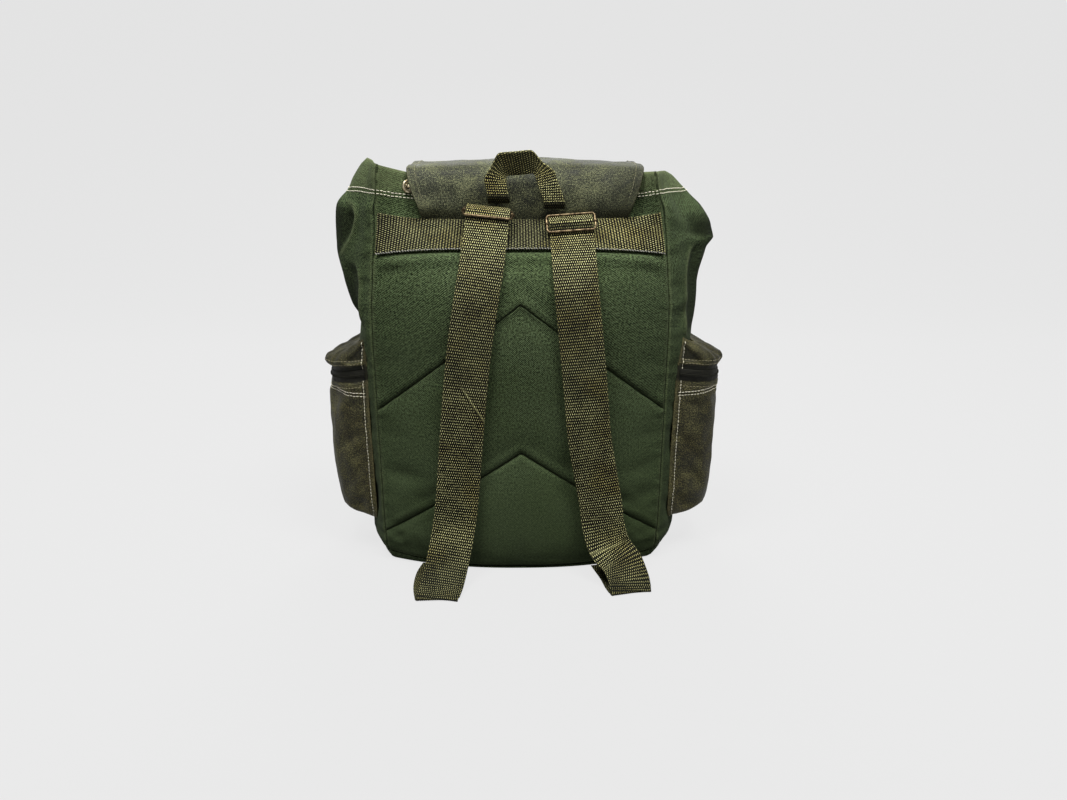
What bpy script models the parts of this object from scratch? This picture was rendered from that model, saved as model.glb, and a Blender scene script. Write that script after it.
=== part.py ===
"""Hunting rucksack, standing on its base.

Metres, +Z up. The origin is the middle of the base's flat underside. The padded back panel with the
shoulder straps faces -Y, the plain front faces +Y, and +X is on the right of someone who looks at the back.
"""
import math
from collections import namedtuple

import bmesh
import bpy
from mathutils import Matrix, Vector

GAP = 0.0003                # clearance between pieces that touch
SEAM_SHIFT = 0.0002         # how far each panel stops short of the seam it shares

CLOTH = 0.0020              # wall of the oxford cloth panels
HEM_CLOTH = 0.0030          # the same wall where the top edge is folded over
PADDING = 0.0060            # the back panel with its foam
CANVAS = 0.0018             # wall of the lid and the pockets
WEBBING = 0.0014            # thickness of every webbing
ZIP_TAPE = 0.0012

STRAP_WIDTH = 0.049
STRAP_STEP = 0.012          # longest facet along a strap
STRAP_LEAST = 0.0012        # shortest one
STRAP_TURN = 9              # most degrees between two facets
CURVE_PARTS = 12            # parts between two points of a strap's route
BACK_COLUMNS = (-1, -0.97, -0.87, -0.74, -0.58, -0.42, -0.27, -0.13, 0,
                0.13, 0.27, 0.42, 0.58, 0.74, 0.87, 0.97, 1)
FRONT_COLUMNS = tuple(i / 5 for i in range(-5, 6))
SIDE_COLUMNS = tuple(i / 5 for i in range(-5, 6))

WIRE_RADIUS = 0.0014
SLIDER_HEIGHT = 0.0215      # between the axes of the two long wires
SLIDER_WIDTH = 0.0550       # between the axes of the two short wires
SLIDER_CORNER = 0.0035
CORNER_STEPS = 3
BAR_RADIUS = 0.00126        # the middle bar, a little thinner than the frame's wire
BAR_REACH = 0.00084         # how far its ends pass the axes of the short wires

EYELET_X = 0.1285
EYELET_RISE = 0.45          # place of the eyelets between the foot of the hem and its edge
HEM_PROBE = 0.004           # a step along the hem, to measure its direction
EYELET_HOLE = 0.0035
EYELET_BARREL = 0.0042
EYELET_FLANGE = 0.0078
EYELET_LIP = 0.0012         # thickness of its two rims
EYELET_SIDES = 14
CORD_RADIUS = 0.0021
CORD_SIDES = 6
CORD_STEP = 0.012
CORD_CLEARANCE = 0.0038     # from the hem to the cord's middle line
CORD_PLACES = (-0.105, -0.08, -0.05, -0.02, 0.02, 0.05, 0.08, 0.105)
# The cord's way through an eyelet: distance out of the hem, and shift towards the middle of the bag.
CORD_TURN = ((-0.0120, -0.0050), (-0.0065, -0.0006), (-0.0010, 0), (0.0034, 0.0016), (0.0052, 0.0062))

# One row for each horizontal section of the bag, from its foot to its mouth.
#   height      of the four corner seams
#   width       half of the distance between the left and right seams
#   back, belly place in Y of the back seams and of the middle of the back panel
#   rise        height of the middle of the back panel in this section
#   flat, peak  exponents of the panel's bulge in Y and of its rise: 1 is a chevron, 4 a plateau
#   crease      depth of a quilting line along the section
#   front, bow  place in Y of the front seams and of the middle of the front panel
#   left, right how far the middle of each side panel stands from the centre plane
#   fold        exponent of the side panel's bulge: 2.2 is round, 1.2 a sharp fold
#   hollow      depth of the dent on each side of that fold
Section = namedtuple("Section", "height width back belly rise flat peak crease front bow "
                                "left right fold hollow")
SECTIONS = [Section(*row) for row in (
    (0.012, 0.164, -0.083, -0.114, 0.003, 2.4, 2.4, 0.0000, 0.083, 0.104, 0.181, 0.185, 2.2, 0.000),
    (0.023, 0.167, -0.085, -0.117, 0.022, 2.4, 2.0, 0.0000, 0.085, 0.107, 0.189, 0.194, 2.2, 0.000),
    (0.027, 0.167, -0.086, -0.119, 0.060, 2.4, 1.5, 0.0000, 0.085, 0.108, 0.190, 0.195, 2.2, 0.000),
    (0.031, 0.167, -0.086, -0.120, 0.102, 2.4, 1.2, 0.0000, 0.086, 0.109, 0.190, 0.196, 2.2, 0.000),
    (0.035, 0.167, -0.086, -0.120, 0.144, 2.4, 1.0, 0.0000, 0.086, 0.109, 0.190, 0.196, 2.2, 0.000),
    (0.039, 0.168, -0.086, -0.120, 0.150, 2.4, 1.0, 0.0018, 0.086, 0.109, 0.190, 0.196, 2.2, 0.000),
    (0.043, 0.168, -0.086, -0.120, 0.156, 2.4, 1.0, 0.0000, 0.086, 0.110, 0.190, 0.196, 2.2, 0.000),
    (0.085, 0.169, -0.087, -0.120, 0.200, 2.4, 1.0, 0.0000, 0.087, 0.112, 0.192, 0.198, 2.2, 0.000),
    (0.140, 0.170, -0.087, -0.119, 0.262, 2.4, 1.0, 0.0000, 0.087, 0.113, 0.194, 0.199, 2.2, 0.000),
    (0.189, 0.171, -0.087, -0.115, 0.317, 2.4, 1.0, 0.0000, 0.087, 0.112, 0.196, 0.201, 2.2, 0.000),
    (0.193, 0.171, -0.087, -0.115, 0.323, 2.4, 1.0, 0.0018, 0.087, 0.112, 0.196, 0.201, 2.2, 0.000),
    (0.197, 0.171, -0.087, -0.114, 0.329, 2.4, 1.0, 0.0000, 0.087, 0.112, 0.196, 0.202, 2.2, 0.000),
    (0.240, 0.172, -0.086, -0.112, 0.340, 2.5, 1.4, 0.0000, 0.086, 0.109, 0.197, 0.205, 2.1, 0.000),
    (0.285, 0.173, -0.085, -0.108, 0.351, 2.6, 2.0, 0.0000, 0.083, 0.104, 0.198, 0.212, 2.0, 0.001),
    (0.312, 0.173, -0.084, -0.104, 0.360, 2.8, 3.0, 0.0000, 0.080, 0.099, 0.209, 0.217, 1.8, 0.003),
    (0.345, 0.171, -0.082, -0.098, 0.371, 3.0, 4.0, 0.0000, 0.076, 0.092, 0.216, 0.224, 1.6, 0.005),
    (0.376, 0.169, -0.080, -0.090, 0.382, 4.0, 4.0, 0.0000, 0.072, 0.084, 0.221, 0.232, 1.4, 0.008),
    (0.400, 0.167, -0.079, -0.070, 0.397, 4.0, 4.0, 0.0000, 0.069, 0.077, 0.222, 0.229, 1.3, 0.010),
    (0.424, 0.165, -0.078, -0.050, 0.411, 4.0, 4.0, 0.0000, 0.066, 0.070, 0.220, 0.221, 1.3, 0.010),
    (0.444, 0.160, -0.077, -0.041, 0.434, 4.0, 4.0, 0.0000, 0.063, 0.064, 0.206, 0.204, 1.3, 0.007),
    (0.470, 0.157, -0.076, -0.035, 0.464, 4.0, 4.0, 0.0000, 0.060, 0.058, 0.186, 0.180, 1.3, 0.003),
)]
BAND_FOOT, BAND_MIDDLE, BAND_TOP, HEM_FOOT, HEM_EDGE = range(16, 21)
LEFT_EAR_LIFT = 0.013       # the left ear's tip stands above the hem
FRONT_SAG = {0: 0.009, HEM_FOOT: 0.008, HEM_EDGE: 0.016}   # the front's middle hangs below its corners
FRONT_BULGE = 2.2           # exponents of the front's and the side foot's curves
FOOT_BULGE = 1.6
SIDE_FOOT_DROP = 0.008      # the foot of each side hangs below its corners
CREASE_ENDS = 8             # exponent that fades a quilting line out at the seams
PADDING_ENDS = 4            # the same for the foam
MITRE_LIMIT = 0.6           # least cosine of a mitre between two panels

# The base: each ring's share of the outline and of the rim's height.
BASE_RINGS = ((1.000, 1.00), (0.990, 0.55), (0.970, 0.20), (0.930, 0.00))

# The lid, from its seam above the band to its free edge on the front: its two side edges in X, and the
# place of its middle and of its side edges in Y and Z.
LidRow = namedtuple("LidRow", "left right middle_y middle_z left_y right_y edge_z")
LID_SEAM = (-0.112, 0.123)
LID_SEAT = 0.0005           # clearance of the lid's sewn edge to the back panel
LID_ROWS = [LidRow(*row) for row in (
    (-0.117, 0.128, -0.0580, 0.424, -0.0660, -0.0700, 0.428),
    (-0.123, 0.134, -0.0565, 0.439, -0.0650, -0.0710, 0.443),
    (-0.127, 0.138, -0.0520, 0.455, -0.0630, -0.0695, 0.457),
    (-0.129, 0.140, -0.0430, 0.469, -0.0570, -0.0640, 0.468),
    (-0.129, 0.140, -0.0270, 0.476, -0.0420, -0.0470, 0.470),
    (-0.129, 0.140, -0.0050, 0.478, -0.0200, -0.0200, 0.471),
    (-0.129, 0.140, 0.0220, 0.478, 0.0120, 0.0120, 0.472),
    (-0.129, 0.140, 0.0460, 0.474, 0.0420, 0.0420, 0.472),
    (-0.129, 0.140, 0.0650, 0.462, 0.0650, 0.0650, 0.467),
    (-0.129, 0.140, 0.0770, 0.440, 0.0765, 0.0765, 0.446),
    (-0.129, 0.140, 0.0870, 0.408, 0.0850, 0.0850, 0.411),
    (-0.128, 0.139, 0.0970, 0.372, 0.0910, 0.0910, 0.373),
    (-0.127, 0.138, 0.1050, 0.337, 0.0960, 0.0960, 0.337),
    (-0.125, 0.136, 0.1100, 0.306, 0.0990, 0.0990, 0.307),
)]
LID_COLUMNS = tuple(i / 6 for i in range(-6, 7))
LID_BEND_Y, LID_BEND_Z = 4, 1.6     # exponents of its cross curve

# The side pockets: height of each row at the side panel, how far it dips in the middle, how far it stands
# out in X, and half of its span in Y.
PocketRow = namedtuple("PocketRow", "height dip out half_span")
POCKET_ROWS = [PocketRow(*row) for row in (
    (0.277, 0.015, 0.004, 0.062),
    (0.268, 0.011, 0.015, 0.063),
    (0.254, 0.005, 0.035, 0.065),
    (0.242, 0.001, 0.045, 0.066),
    (0.226, 0.000, 0.043, 0.067),
    (0.204, 0.000, 0.043, 0.067),
    (0.165, 0.000, 0.044, 0.067),
    (0.120, 0.000, 0.045, 0.067),
    (0.080, 0.000, 0.043, 0.066),
    (0.060, 0.000, 0.037, 0.064),
    (0.049, 0.000, 0.024, 0.061),
    (0.044, 0.000, 0.004, 0.057),
)]
POCKET_LIP = 3              # the row above the zip
POCKET_STRETCH = {-1: 1.0, 1: 1.06}     # the right pocket is fuller than the left one
POCKET_COLUMNS = 12
POCKET_TURNS = [2 * column / POCKET_COLUMNS - 1 for column in range(POCKET_COLUMNS + 1)]
POCKET_SQUARE = 0.80        # exponent of its section: 1 is round, 0 a box
ZIP_FOOT, ZIP_TOP = 0.2275, 0.2395
ZIP_INDENT = 0.2            # share of the last facet that the zip's ends leave bare

# The shoulder straps' routes: place of the webbing's middle line, and its roll about Y in degrees.
StrapPoint = namedtuple("StrapPoint", "x y z roll")
STRAP_LEFT = [StrapPoint(*row) for row in (
    (-0.0366, -0.0614, 0.4215, -6), (-0.0363, -0.0618, 0.4250, -6), (-0.0362, -0.0632, 0.4274, -6),
    (-0.0364, -0.0743, 0.4264, -6), (-0.0369, -0.0775, 0.4214, -6), (-0.0374, -0.0807, 0.4163, -6),
    (-0.0382, -0.0845, 0.4085, -6), (-0.0392, -0.0905, 0.3985, -5), (-0.0410, -0.1000, 0.3860, -4),
    (-0.0440, -0.1125, 0.3620, -2), (-0.0494, -0.1230, 0.3310, 0), (-0.0580, -0.1300, 0.2730, 0),
    (-0.0640, -0.1325, 0.2200, 0), (-0.0685, -0.1330, 0.1700, 0), (-0.0750, -0.1330, 0.0960, 0),
    (-0.0810, -0.1380, 0.0580, 0), (-0.0880, -0.1520, 0.0280, 0), (-0.0930, -0.1720, 0.0100, 0),
    (-0.0955, -0.1900, 0.0048, 0), (-0.0960, -0.1965, 0.0032, 0), (-0.0960, -0.1960, 0.0012, 0),
    (-0.0965, -0.1880, 0.0008, 0), (-0.0990, -0.1550, 0.0008, 0), (-0.1020, -0.1250, 0.0008, 0),
    (-0.1033, -0.1095, 0.0008, 0),
)]
STRAP_RIGHT = [StrapPoint(*row) for row in (
    (0.0571, -0.0590, 0.4176, 4), (0.0570, -0.0632, 0.4188, 4), (0.0570, -0.0689, 0.4187, 4),
    (0.0572, -0.0743, 0.4160, 4), (0.0574, -0.0796, 0.4132, 4), (0.0578, -0.0808, 0.4074, 4),
    (0.0582, -0.0819, 0.4015, 4), (0.0587, -0.0850, 0.3950, 4), (0.0593, -0.0935, 0.3860, 3),
    (0.0600, -0.1040, 0.3740, 2), (0.0611, -0.1140, 0.3580, 1), (0.0633, -0.1230, 0.3310, 0),
    (0.0700, -0.1300, 0.2630, 0), (0.0745, -0.1325, 0.2150, 0), (0.0790, -0.1330, 0.1690, 0),
    (0.0920, -0.1330, 0.0960, 0), (0.0960, -0.1350, 0.0660, 0), (0.1025, -0.1410, 0.0420, 0),
    (0.1130, -0.1520, 0.0280, 0), (0.1205, -0.1690, 0.0145, 0), (0.1250, -0.1815, 0.0056, 0),
    (0.1270, -0.1877, 0.0034, 0),
    (0.1270, -0.1870, 0.0012, 0), (0.1245, -0.1795, 0.0008, 0), (0.1160, -0.1500, 0.0008, 0),
    (0.1080, -0.1250, 0.0008, 0), (0.1035, -0.1095, 0.0008, 0),
)]

# The sliders: middle of the frame, how far it leans back from upright, and its roll about Y.
Slider = namedtuple("Slider", "x y z lean roll")
SLIDERS = {
    "left": Slider(-0.0366, -0.0730, 0.4243, 58, -6),
    "right": Slider(0.0575, -0.0775, 0.4117, 37, 4),
}

# The carry handle: its outer and inner edges in X and Z and its place in Y, from left foot to right foot.
HandleRow = namedtuple("HandleRow", "outer_x outer_z inner_x inner_z y")
HANDLE_ROWS = [HandleRow(*row) for row in (
    (-0.0375, 0.4325, -0.0120, 0.4325, -0.0600),
    (-0.0375, 0.4365, -0.0120, 0.4360, -0.0650),
    (-0.0375, 0.4405, -0.0130, 0.4400, -0.0670),
    (-0.0385, 0.4470, -0.0145, 0.4465, -0.0665),
    (-0.0410, 0.4580, -0.0155, 0.4560, -0.0650),
    (-0.0330, 0.4730, -0.0155, 0.4600, -0.0625),
    (-0.0230, 0.4880, -0.0140, 0.4625, -0.0610),
    (-0.0060, 0.4895, -0.0010, 0.4635, -0.0600),
    (0.0112, 0.4910, 0.0140, 0.4650, -0.0610),
    (0.0255, 0.4780, 0.0165, 0.4630, -0.0625),
    (0.0395, 0.4670, 0.0175, 0.4600, -0.0640),
    (0.0415, 0.4600, 0.0195, 0.4540, -0.0650),
    (0.0455, 0.4500, 0.0215, 0.4480, -0.0665),
    (0.0505, 0.4345, 0.0265, 0.4340, -0.0670),
    (0.0512, 0.4300, 0.0270, 0.4295, -0.0655),
    (0.0515, 0.4265, 0.0270, 0.4265, -0.0607),
)]


def clear_scene():
    for item in list(bpy.data.objects):
        bpy.data.objects.remove(item, do_unlink=True)


def make_material(name, colour, roughness, metallic=0.0):
    material = bpy.data.materials.new(name)
    material.use_nodes = True
    shader = material.node_tree.nodes["Principled BSDF"]
    shader.inputs["Base Color"].default_value = (*colour, 1)
    shader.inputs["Roughness"].default_value = roughness
    shader.inputs["Metallic"].default_value = metallic
    return material


def make_object(name, mesh_data, material, smooth=False):
    """Turn a bmesh into a named object whose faces point outwards."""
    bmesh.ops.recalc_face_normals(mesh_data, faces=mesh_data.faces)
    mesh = bpy.data.meshes.new(name)
    mesh_data.to_mesh(mesh)
    mesh_data.free()
    mesh.materials.append(material)
    if smooth:
        mesh.shade_smooth()
        mesh.set_sharp_from_angle(angle=math.radians(40))
    item = bpy.data.objects.new(name, mesh)
    bpy.context.scene.collection.objects.link(item)
    return item


def solid_between(outer, inner):
    """A closed body between two grids of points of the same size."""
    body = bmesh.new()
    grids = [[[body.verts.new(point) for point in row] for row in grid] for grid in (outer, inner)]
    last_row, last_column = len(outer) - 1, len(outer[0]) - 1
    for grid in grids:
        for row in range(last_row):
            for column in range(last_column):
                body.faces.new((grid[row][column], grid[row][column + 1],
                                grid[row + 1][column + 1], grid[row + 1][column]))
    rim = [(0, column) for column in range(last_column)]
    rim += [(row, last_column) for row in range(last_row)]
    rim += [(last_row, column) for column in range(last_column, 0, -1)]
    rim += [(row, 0) for row in range(last_row, 0, -1)]
    for here, there in zip(rim, rim[1:] + rim[:1]):
        body.faces.new((grids[0][here[0]][here[1]], grids[0][there[0]][there[1]],
                        grids[1][there[0]][there[1]], grids[1][here[0]][here[1]]))
    return body


def tube(stations, radius, sides, closed):
    """A round tube through a list of points, closed in a ring or with flat ends."""
    body = bmesh.new()
    count = len(stations)
    rings = []
    across = None
    for index, centre in enumerate(stations):
        after = stations[(index + 1) % count] if closed or index + 1 < count else centre
        before = stations[index - 1] if closed or index else centre
        along = (after - before).normalized()
        if across is None:
            across = along.orthogonal().normalized()
        across = (across - along * across.dot(along)).normalized()
        upward = along.cross(across)
        turns = [2 * math.pi * side / sides for side in range(sides)]
        rings.append([body.verts.new(centre + radius * (math.cos(turn) * across + math.sin(turn) * upward))
                      for turn in turns])
    if closed:
        first = stations[0] - stations[-1]
        twist = nearest_twist(rings[-1], rings[0], first)
        rings.append(rings[0][twist:] + rings[0][:twist])
    else:
        body.faces.new(rings[0])
        body.faces.new(rings[-1])
    for ring, following in zip(rings, rings[1:]):
        for side in range(sides):
            other = (side + 1) % sides
            body.faces.new((ring[side], ring[other], following[other], following[side]))
    return body


def nearest_twist(ring, following, step):
    """How many corners to turn the next ring so that the two line up."""
    return min(range(len(ring)), key=lambda twist: (ring[0].co + step - following[twist].co).length)


def curve_points(before, start, end, after, parts):
    """Points of a Catmull-Rom curve from start up to, but not on, end."""
    for part in range(parts):
        t = part / parts
        yield 0.5 * (2 * start + (end - before) * t
                     + (2 * before - 5 * start + 4 * end - after) * t ** 2
                     + (3 * start - before - 3 * end + after) * t ** 3)


def smooth_route(points):
    """A fine curve through the points of a route."""
    padded = [2 * points[0] - points[1], *points, 2 * points[-1] - points[-2]]
    spans = zip(padded, padded[1:], padded[2:], padded[3:])
    return [point for span in spans for point in curve_points(*span, CURVE_PARTS)] + [points[-1]]


def profile(place, exponent):
    """1 in the middle of a panel and 0 at its seams."""
    return 1 - abs(place) ** exponent


def back_point(row, place):
    section = SECTIONS[row]
    bulge = profile(place, section.flat)
    rise = profile(place, section.peak)
    x = section.width * place
    y = section.back + (section.belly - section.back) * bulge + section.crease * profile(place, CREASE_ENDS)
    z = section.height + (section.rise - section.height) * rise
    return Vector((x, y, z))


def front_point(row, place):
    section = SECTIONS[row]
    bulge = profile(place, FRONT_BULGE)
    return Vector((section.width * place, section.front + (section.bow - section.front) * bulge,
                   section.height - FRONT_SAG.get(row, 0) * profile(place, 2)))


def side_point(row, place, side):
    """place runs from the back seam (-1) to the front seam (1), side is -1 on the left and 1 on the right."""
    section = SECTIONS[row]
    reach = section.right if side > 0 else section.left
    x = section.width + (reach - section.width) * profile(place, section.fold)
    x -= section.hollow * math.sin(math.pi * place) ** 2
    y = section.back + (section.front - section.back) * (place + 1) / 2
    lift = 0
    if row == 0:
        lift = -SIDE_FOOT_DROP * profile(place, FOOT_BULGE)
    elif row == HEM_EDGE and side < 0:
        lift = LEFT_EAR_LIFT * profile(place, 1)
    return Vector((side * x, y, section.height + lift))


def body_loop(row):
    """The points of one section of the bag, round from the back left seam."""
    loop = [back_point(row, place) for place in BACK_COLUMNS]
    loop += [side_point(row, place, 1) for place in SIDE_COLUMNS[1:]]
    loop += [front_point(row, -place) for place in FRONT_COLUMNS[1:]]
    loop += [side_point(row, -place, -1) for place in SIDE_COLUMNS[1:-1]]
    return loop


BACK_LEFT = 0
BACK_RIGHT = len(BACK_COLUMNS) - 1
FRONT_RIGHT = BACK_RIGHT + len(SIDE_COLUMNS) - 1
FRONT_LEFT = FRONT_RIGHT + len(FRONT_COLUMNS) - 1
LOOP_SIZE = FRONT_LEFT + len(SIDE_COLUMNS) - 1
PANELS = {
    "back_panel": (BACK_LEFT, BACK_RIGHT),
    "side_panel_right": (BACK_RIGHT, FRONT_RIGHT),
    "front_panel": (FRONT_RIGHT, FRONT_LEFT),
    "side_panel_left": (FRONT_LEFT, LOOP_SIZE),
}


def wall_thickness(row, column):
    cloth = HEM_CLOTH if row >= HEM_FOOT else CLOTH
    if row < HEM_FOOT and column <= BACK_RIGHT:
        cloth += (PADDING - CLOTH) * profile(BACK_COLUMNS[column], PADDING_ENDS)
    return cloth


def outward(loops, row, column):
    """Normal of the bag's surface. At a seam it is the mitre between the two panels."""
    along = loops[min(row + 1, len(loops) - 1)][column] - loops[max(row - 1, 0)][column]
    here = loops[row][column]
    ahead = (loops[row][(column + 1) % LOOP_SIZE] - here).cross(along).normalized()
    behind = (here - loops[row][column - 1]).cross(along).normalized()
    middle = (ahead + behind).normalized()
    return middle / max(middle.dot(ahead), MITRE_LIMIT)


def bag_surfaces():
    """Outer points, inner points and outward directions of the whole bag, section by section."""
    outer = [body_loop(row) for row in range(len(SECTIONS))]
    normals = [[outward(outer, row, column) for column in range(LOOP_SIZE)] for row in range(len(outer))]
    inner = [[point - normal * wall_thickness(row, column)
              for column, (point, normal) in enumerate(zip(outer[row], normals[row]))]
             for row in range(len(outer))]
    return outer, inner, normals


def panel_grid(loops, first, last):
    """The part of the loops between two seams, stopped just short of both."""
    grid = []
    for loop in loops:
        row = [loop[column % LOOP_SIZE].copy() for column in range(first, last + 1)]
        row[0] += (row[1] - row[0]).normalized() * SEAM_SHIFT
        row[-1] += (row[-2] - row[-1]).normalized() * SEAM_SHIFT
        grid.append(row)
    return grid


def along_back(points, x):
    """Interpolate a row of the back panel at a place in X."""
    for start, end in zip(points, points[1:]):
        if start.x <= x <= end.x:
            return start.lerp(end, (x - start.x) / (end.x - start.x))
    return points[0] if x < points[0].x else points[-1]


def make_panels(outer, inner, material):
    return {name: make_object(name, solid_between(panel_grid(outer, *span), panel_grid(inner, *span)), material)
            for name, span in PANELS.items()}


def make_base(outer, inner, material):
    """A shallow dish whose rim meets the foot of the four walls."""
    body = bmesh.new()
    skins = []
    for loop, lift in ((outer[0], 0), (inner[0], CLOTH)):
        skin = []
        for scale, height in BASE_RINGS:
            ring = []
            for point, foot in zip(loop, outer[0]):
                rim = foot.z - GAP
                z = rim * height + (lift if height < 1 else 0)
                ring.append(body.verts.new((point.x * scale, point.y * scale, z)))
            skin.append(ring)
        skins.append(skin)
    for skin in skins:
        for ring, following in zip(skin, skin[1:]):
            for here in range(LOOP_SIZE):
                there = (here + 1) % LOOP_SIZE
                body.faces.new((ring[here], ring[there], following[there], following[here]))
        body.faces.new(skin[-1])
    for here in range(LOOP_SIZE):
        there = (here + 1) % LOOP_SIZE
        body.faces.new((skins[0][0][here], skins[0][0][there], skins[1][0][there], skins[1][0][here]))
    return make_object("base_panel", body, material)


def make_band(outer, normals, material):
    """Webbing sewn flat across the back panel, from seam to seam."""
    skins = [[[outer[row][column] + normals[row][column] * distance for column in range(1, BACK_RIGHT)]
              for row in (BAND_FOOT, BAND_MIDDLE, BAND_TOP)]
             for distance in (GAP + WEBBING, GAP)]
    return make_object("webbing_band", solid_between(*skins), material)


def lid_seam(distance, outer, normals):
    """The lid's sewn edge, which lies on the back panel just above the band."""
    left, right = LID_SEAM
    seam, above = ([point + normal * distance for point, normal
                    in zip(outer[row][:BACK_RIGHT + 1], normals[row])] for row in (BAND_TOP, HEM_FOOT))
    points = []
    for place in LID_COLUMNS:
        x = left + (right - left) * (place + 1) / 2
        foot = along_back(seam, x)
        points.append(foot + (along_back(above, x) - foot).normalized() * 2 * GAP)
    return points


def lid_point(lid, place):
    """place runs across the lid from -1 to 1."""
    edge_y = lid.right_y if place > 0 else lid.left_y
    return Vector((lid.left + (lid.right - lid.left) * (place + 1) / 2,
                   lid.middle_y + (edge_y - lid.middle_y) * abs(place) ** LID_BEND_Y,
                   lid.middle_z + (lid.edge_z - lid.middle_z) * abs(place) ** LID_BEND_Z))


def make_lid(outer, normals, material):
    under = [lid_seam(LID_SEAT, outer, normals)]
    under += [[lid_point(lid, place) for place in LID_COLUMNS] for lid in LID_ROWS]
    over = [lid_seam(LID_SEAT + CANVAS, outer, normals)]
    for row in range(1, len(under)):
        lifted = []
        for column, point in enumerate(under[row]):
            along = under[min(row + 1, len(under) - 1)][column] - under[row - 1][column]
            across = under[row][min(column + 1, len(LID_COLUMNS) - 1)] - under[row][max(column - 1, 0)]
            lifted.append(point + across.cross(along).normalized() * CANVAS)
        over.append(lifted)
    return make_object("lid", solid_between(over, under), material)


def make_strap(name, route, material):
    """A flat webbing along a route, with its width kept across the route."""
    centres = [Vector((point.x, point.y, point.z)) for point in route]
    fine = smooth_route(centres)
    rolls = [point.roll for point in route]
    front, rear = [], []
    kept = None
    for index, centre in enumerate(fine):
        if index % CURVE_PARTS:
            turn = (fine[index + 1] - centre).angle(centre - kept)
            length = (centre - kept).length
            if length < STRAP_LEAST or (length < STRAP_STEP and turn < math.radians(STRAP_TURN)):
                continue
        kept = centre
        along = (fine[min(index + 1, len(fine) - 1)] - fine[max(index - 1, 0)]).normalized()
        place = index / CURVE_PARTS
        first = min(int(place), len(rolls) - 2)
        roll = math.radians(rolls[first] + (rolls[first + 1] - rolls[first]) * (place - first))
        across = Vector((math.cos(roll), 0, math.sin(roll)))
        across = (across - along * across.dot(along)).normalized()
        thick = across.cross(along).normalized() * WEBBING / 2
        edges = [centre - across * STRAP_WIDTH / 2, centre + across * STRAP_WIDTH / 2]
        front.append([edge - thick for edge in edges])
        rear.append([edge + thick for edge in edges])
    return make_object(name, solid_between(front, rear), material)


def make_slider(name, slider, material):
    """A wire frame with a bar across its middle."""
    half_width, half_height = SLIDER_WIDTH / 2, SLIDER_HEIGHT / 2
    corners = ((1, 1), (-1, 1), (-1, -1), (1, -1))
    outline = []
    for quarter, (right, up) in enumerate(corners):
        for part in range(CORNER_STEPS + 1):
            turn = math.radians(90 * (quarter + part / CORNER_STEPS))
            outline.append(Vector((right * (half_width - SLIDER_CORNER) + SLIDER_CORNER * math.cos(turn), 0,
                                   up * (half_height - SLIDER_CORNER) + SLIDER_CORNER * math.sin(turn))))
    place = (Matrix.Translation((slider.x, slider.y, slider.z))
             @ Matrix.Rotation(math.radians(-slider.roll), 4, "Y")
             @ Matrix.Rotation(math.radians(-slider.lean), 4, "X"))
    frame = make_object(name, tube(outline, WIRE_RADIUS, 8, True), material, smooth=True)
    bar_ends = [Vector((end * (half_width + BAR_REACH), 0, 0)) for end in (-1, 1)]
    bar = make_object(name + "_bar", tube(bar_ends, BAR_RADIUS, 10, False), material)
    frame.data.transform(place)
    bar.data.transform(place)
    bar.hide_render = True
    bar.display_type = "WIRE"
    union = frame.modifiers.new("middle bar", "BOOLEAN")
    union.operation = "UNION"
    union.object = bar
    return frame


def make_handle(material):
    front, rear = [], []
    for index, row in enumerate(HANDLE_ROWS):
        before = HANDLE_ROWS[max(index - 1, 0)]
        after = HANDLE_ROWS[min(index + 1, len(HANDLE_ROWS) - 1)]
        middle = [Vector(((item.outer_x + item.inner_x) / 2, item.y, (item.outer_z + item.inner_z) / 2))
                  for item in (before, after)]
        edges = [Vector((row.outer_x, row.y, row.outer_z)), Vector((row.inner_x, row.y, row.inner_z))]
        thick = (edges[1] - edges[0]).cross(middle[1] - middle[0]).normalized() * WEBBING / 2
        front.append([edge + thick for edge in edges])
        rear.append([edge - thick for edge in edges])
    return make_object("carry_handle", solid_between(front, rear), material)


def side_surface(side, y, z):
    """How far the side panel stands out at a place in Y and Z."""
    rows = range(len(SECTIONS) - 1)
    row = next((index for index in rows if SECTIONS[index].height <= z <= SECTIONS[index + 1].height), 0)
    reaches = []
    for index in (row, row + 1):
        section = SECTIONS[index]
        place = 2 * (y - section.back) / (section.front - section.back) - 1
        reaches.append(abs(side_point(index, place, side).x))
    share = (z - SECTIONS[row].height) / (SECTIONS[row + 1].height - SECTIONS[row].height)
    return reaches[0] + (reaches[1] - reaches[0]) * share


def pocket_point(side, row, turn, inset):
    """A point of the pocket's skin. turn runs from the back edge (-1) over the face to the front edge (1)."""
    middle = (POCKET_ROWS[0].height + POCKET_ROWS[-1].height) / 2
    reach = (POCKET_ROWS[0].height - POCKET_ROWS[-1].height) / 2
    angle = turn * math.pi / 2
    z = middle + (row.height - middle) * (1 - inset / reach) - row.dip * math.cos(angle)
    y = math.copysign(abs(math.sin(angle)) ** POCKET_SQUARE, angle) * (row.half_span - inset)
    root = side_surface(side, y, z) + 2 * GAP
    face = side_surface(side, 0, z) + max(row.out * POCKET_STRETCH[side] - inset, 2 * GAP)
    return Vector((side * (root + max(face - root, 0) * math.cos(angle) ** POCKET_SQUARE), y, z))


def make_pocket(name, side, material):
    skins = [[[pocket_point(side, row, turn, inset) for turn in POCKET_TURNS] for row in POCKET_ROWS]
             for inset in (0, CANVAS)]
    return make_object(name, solid_between(*skins), material)


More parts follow.
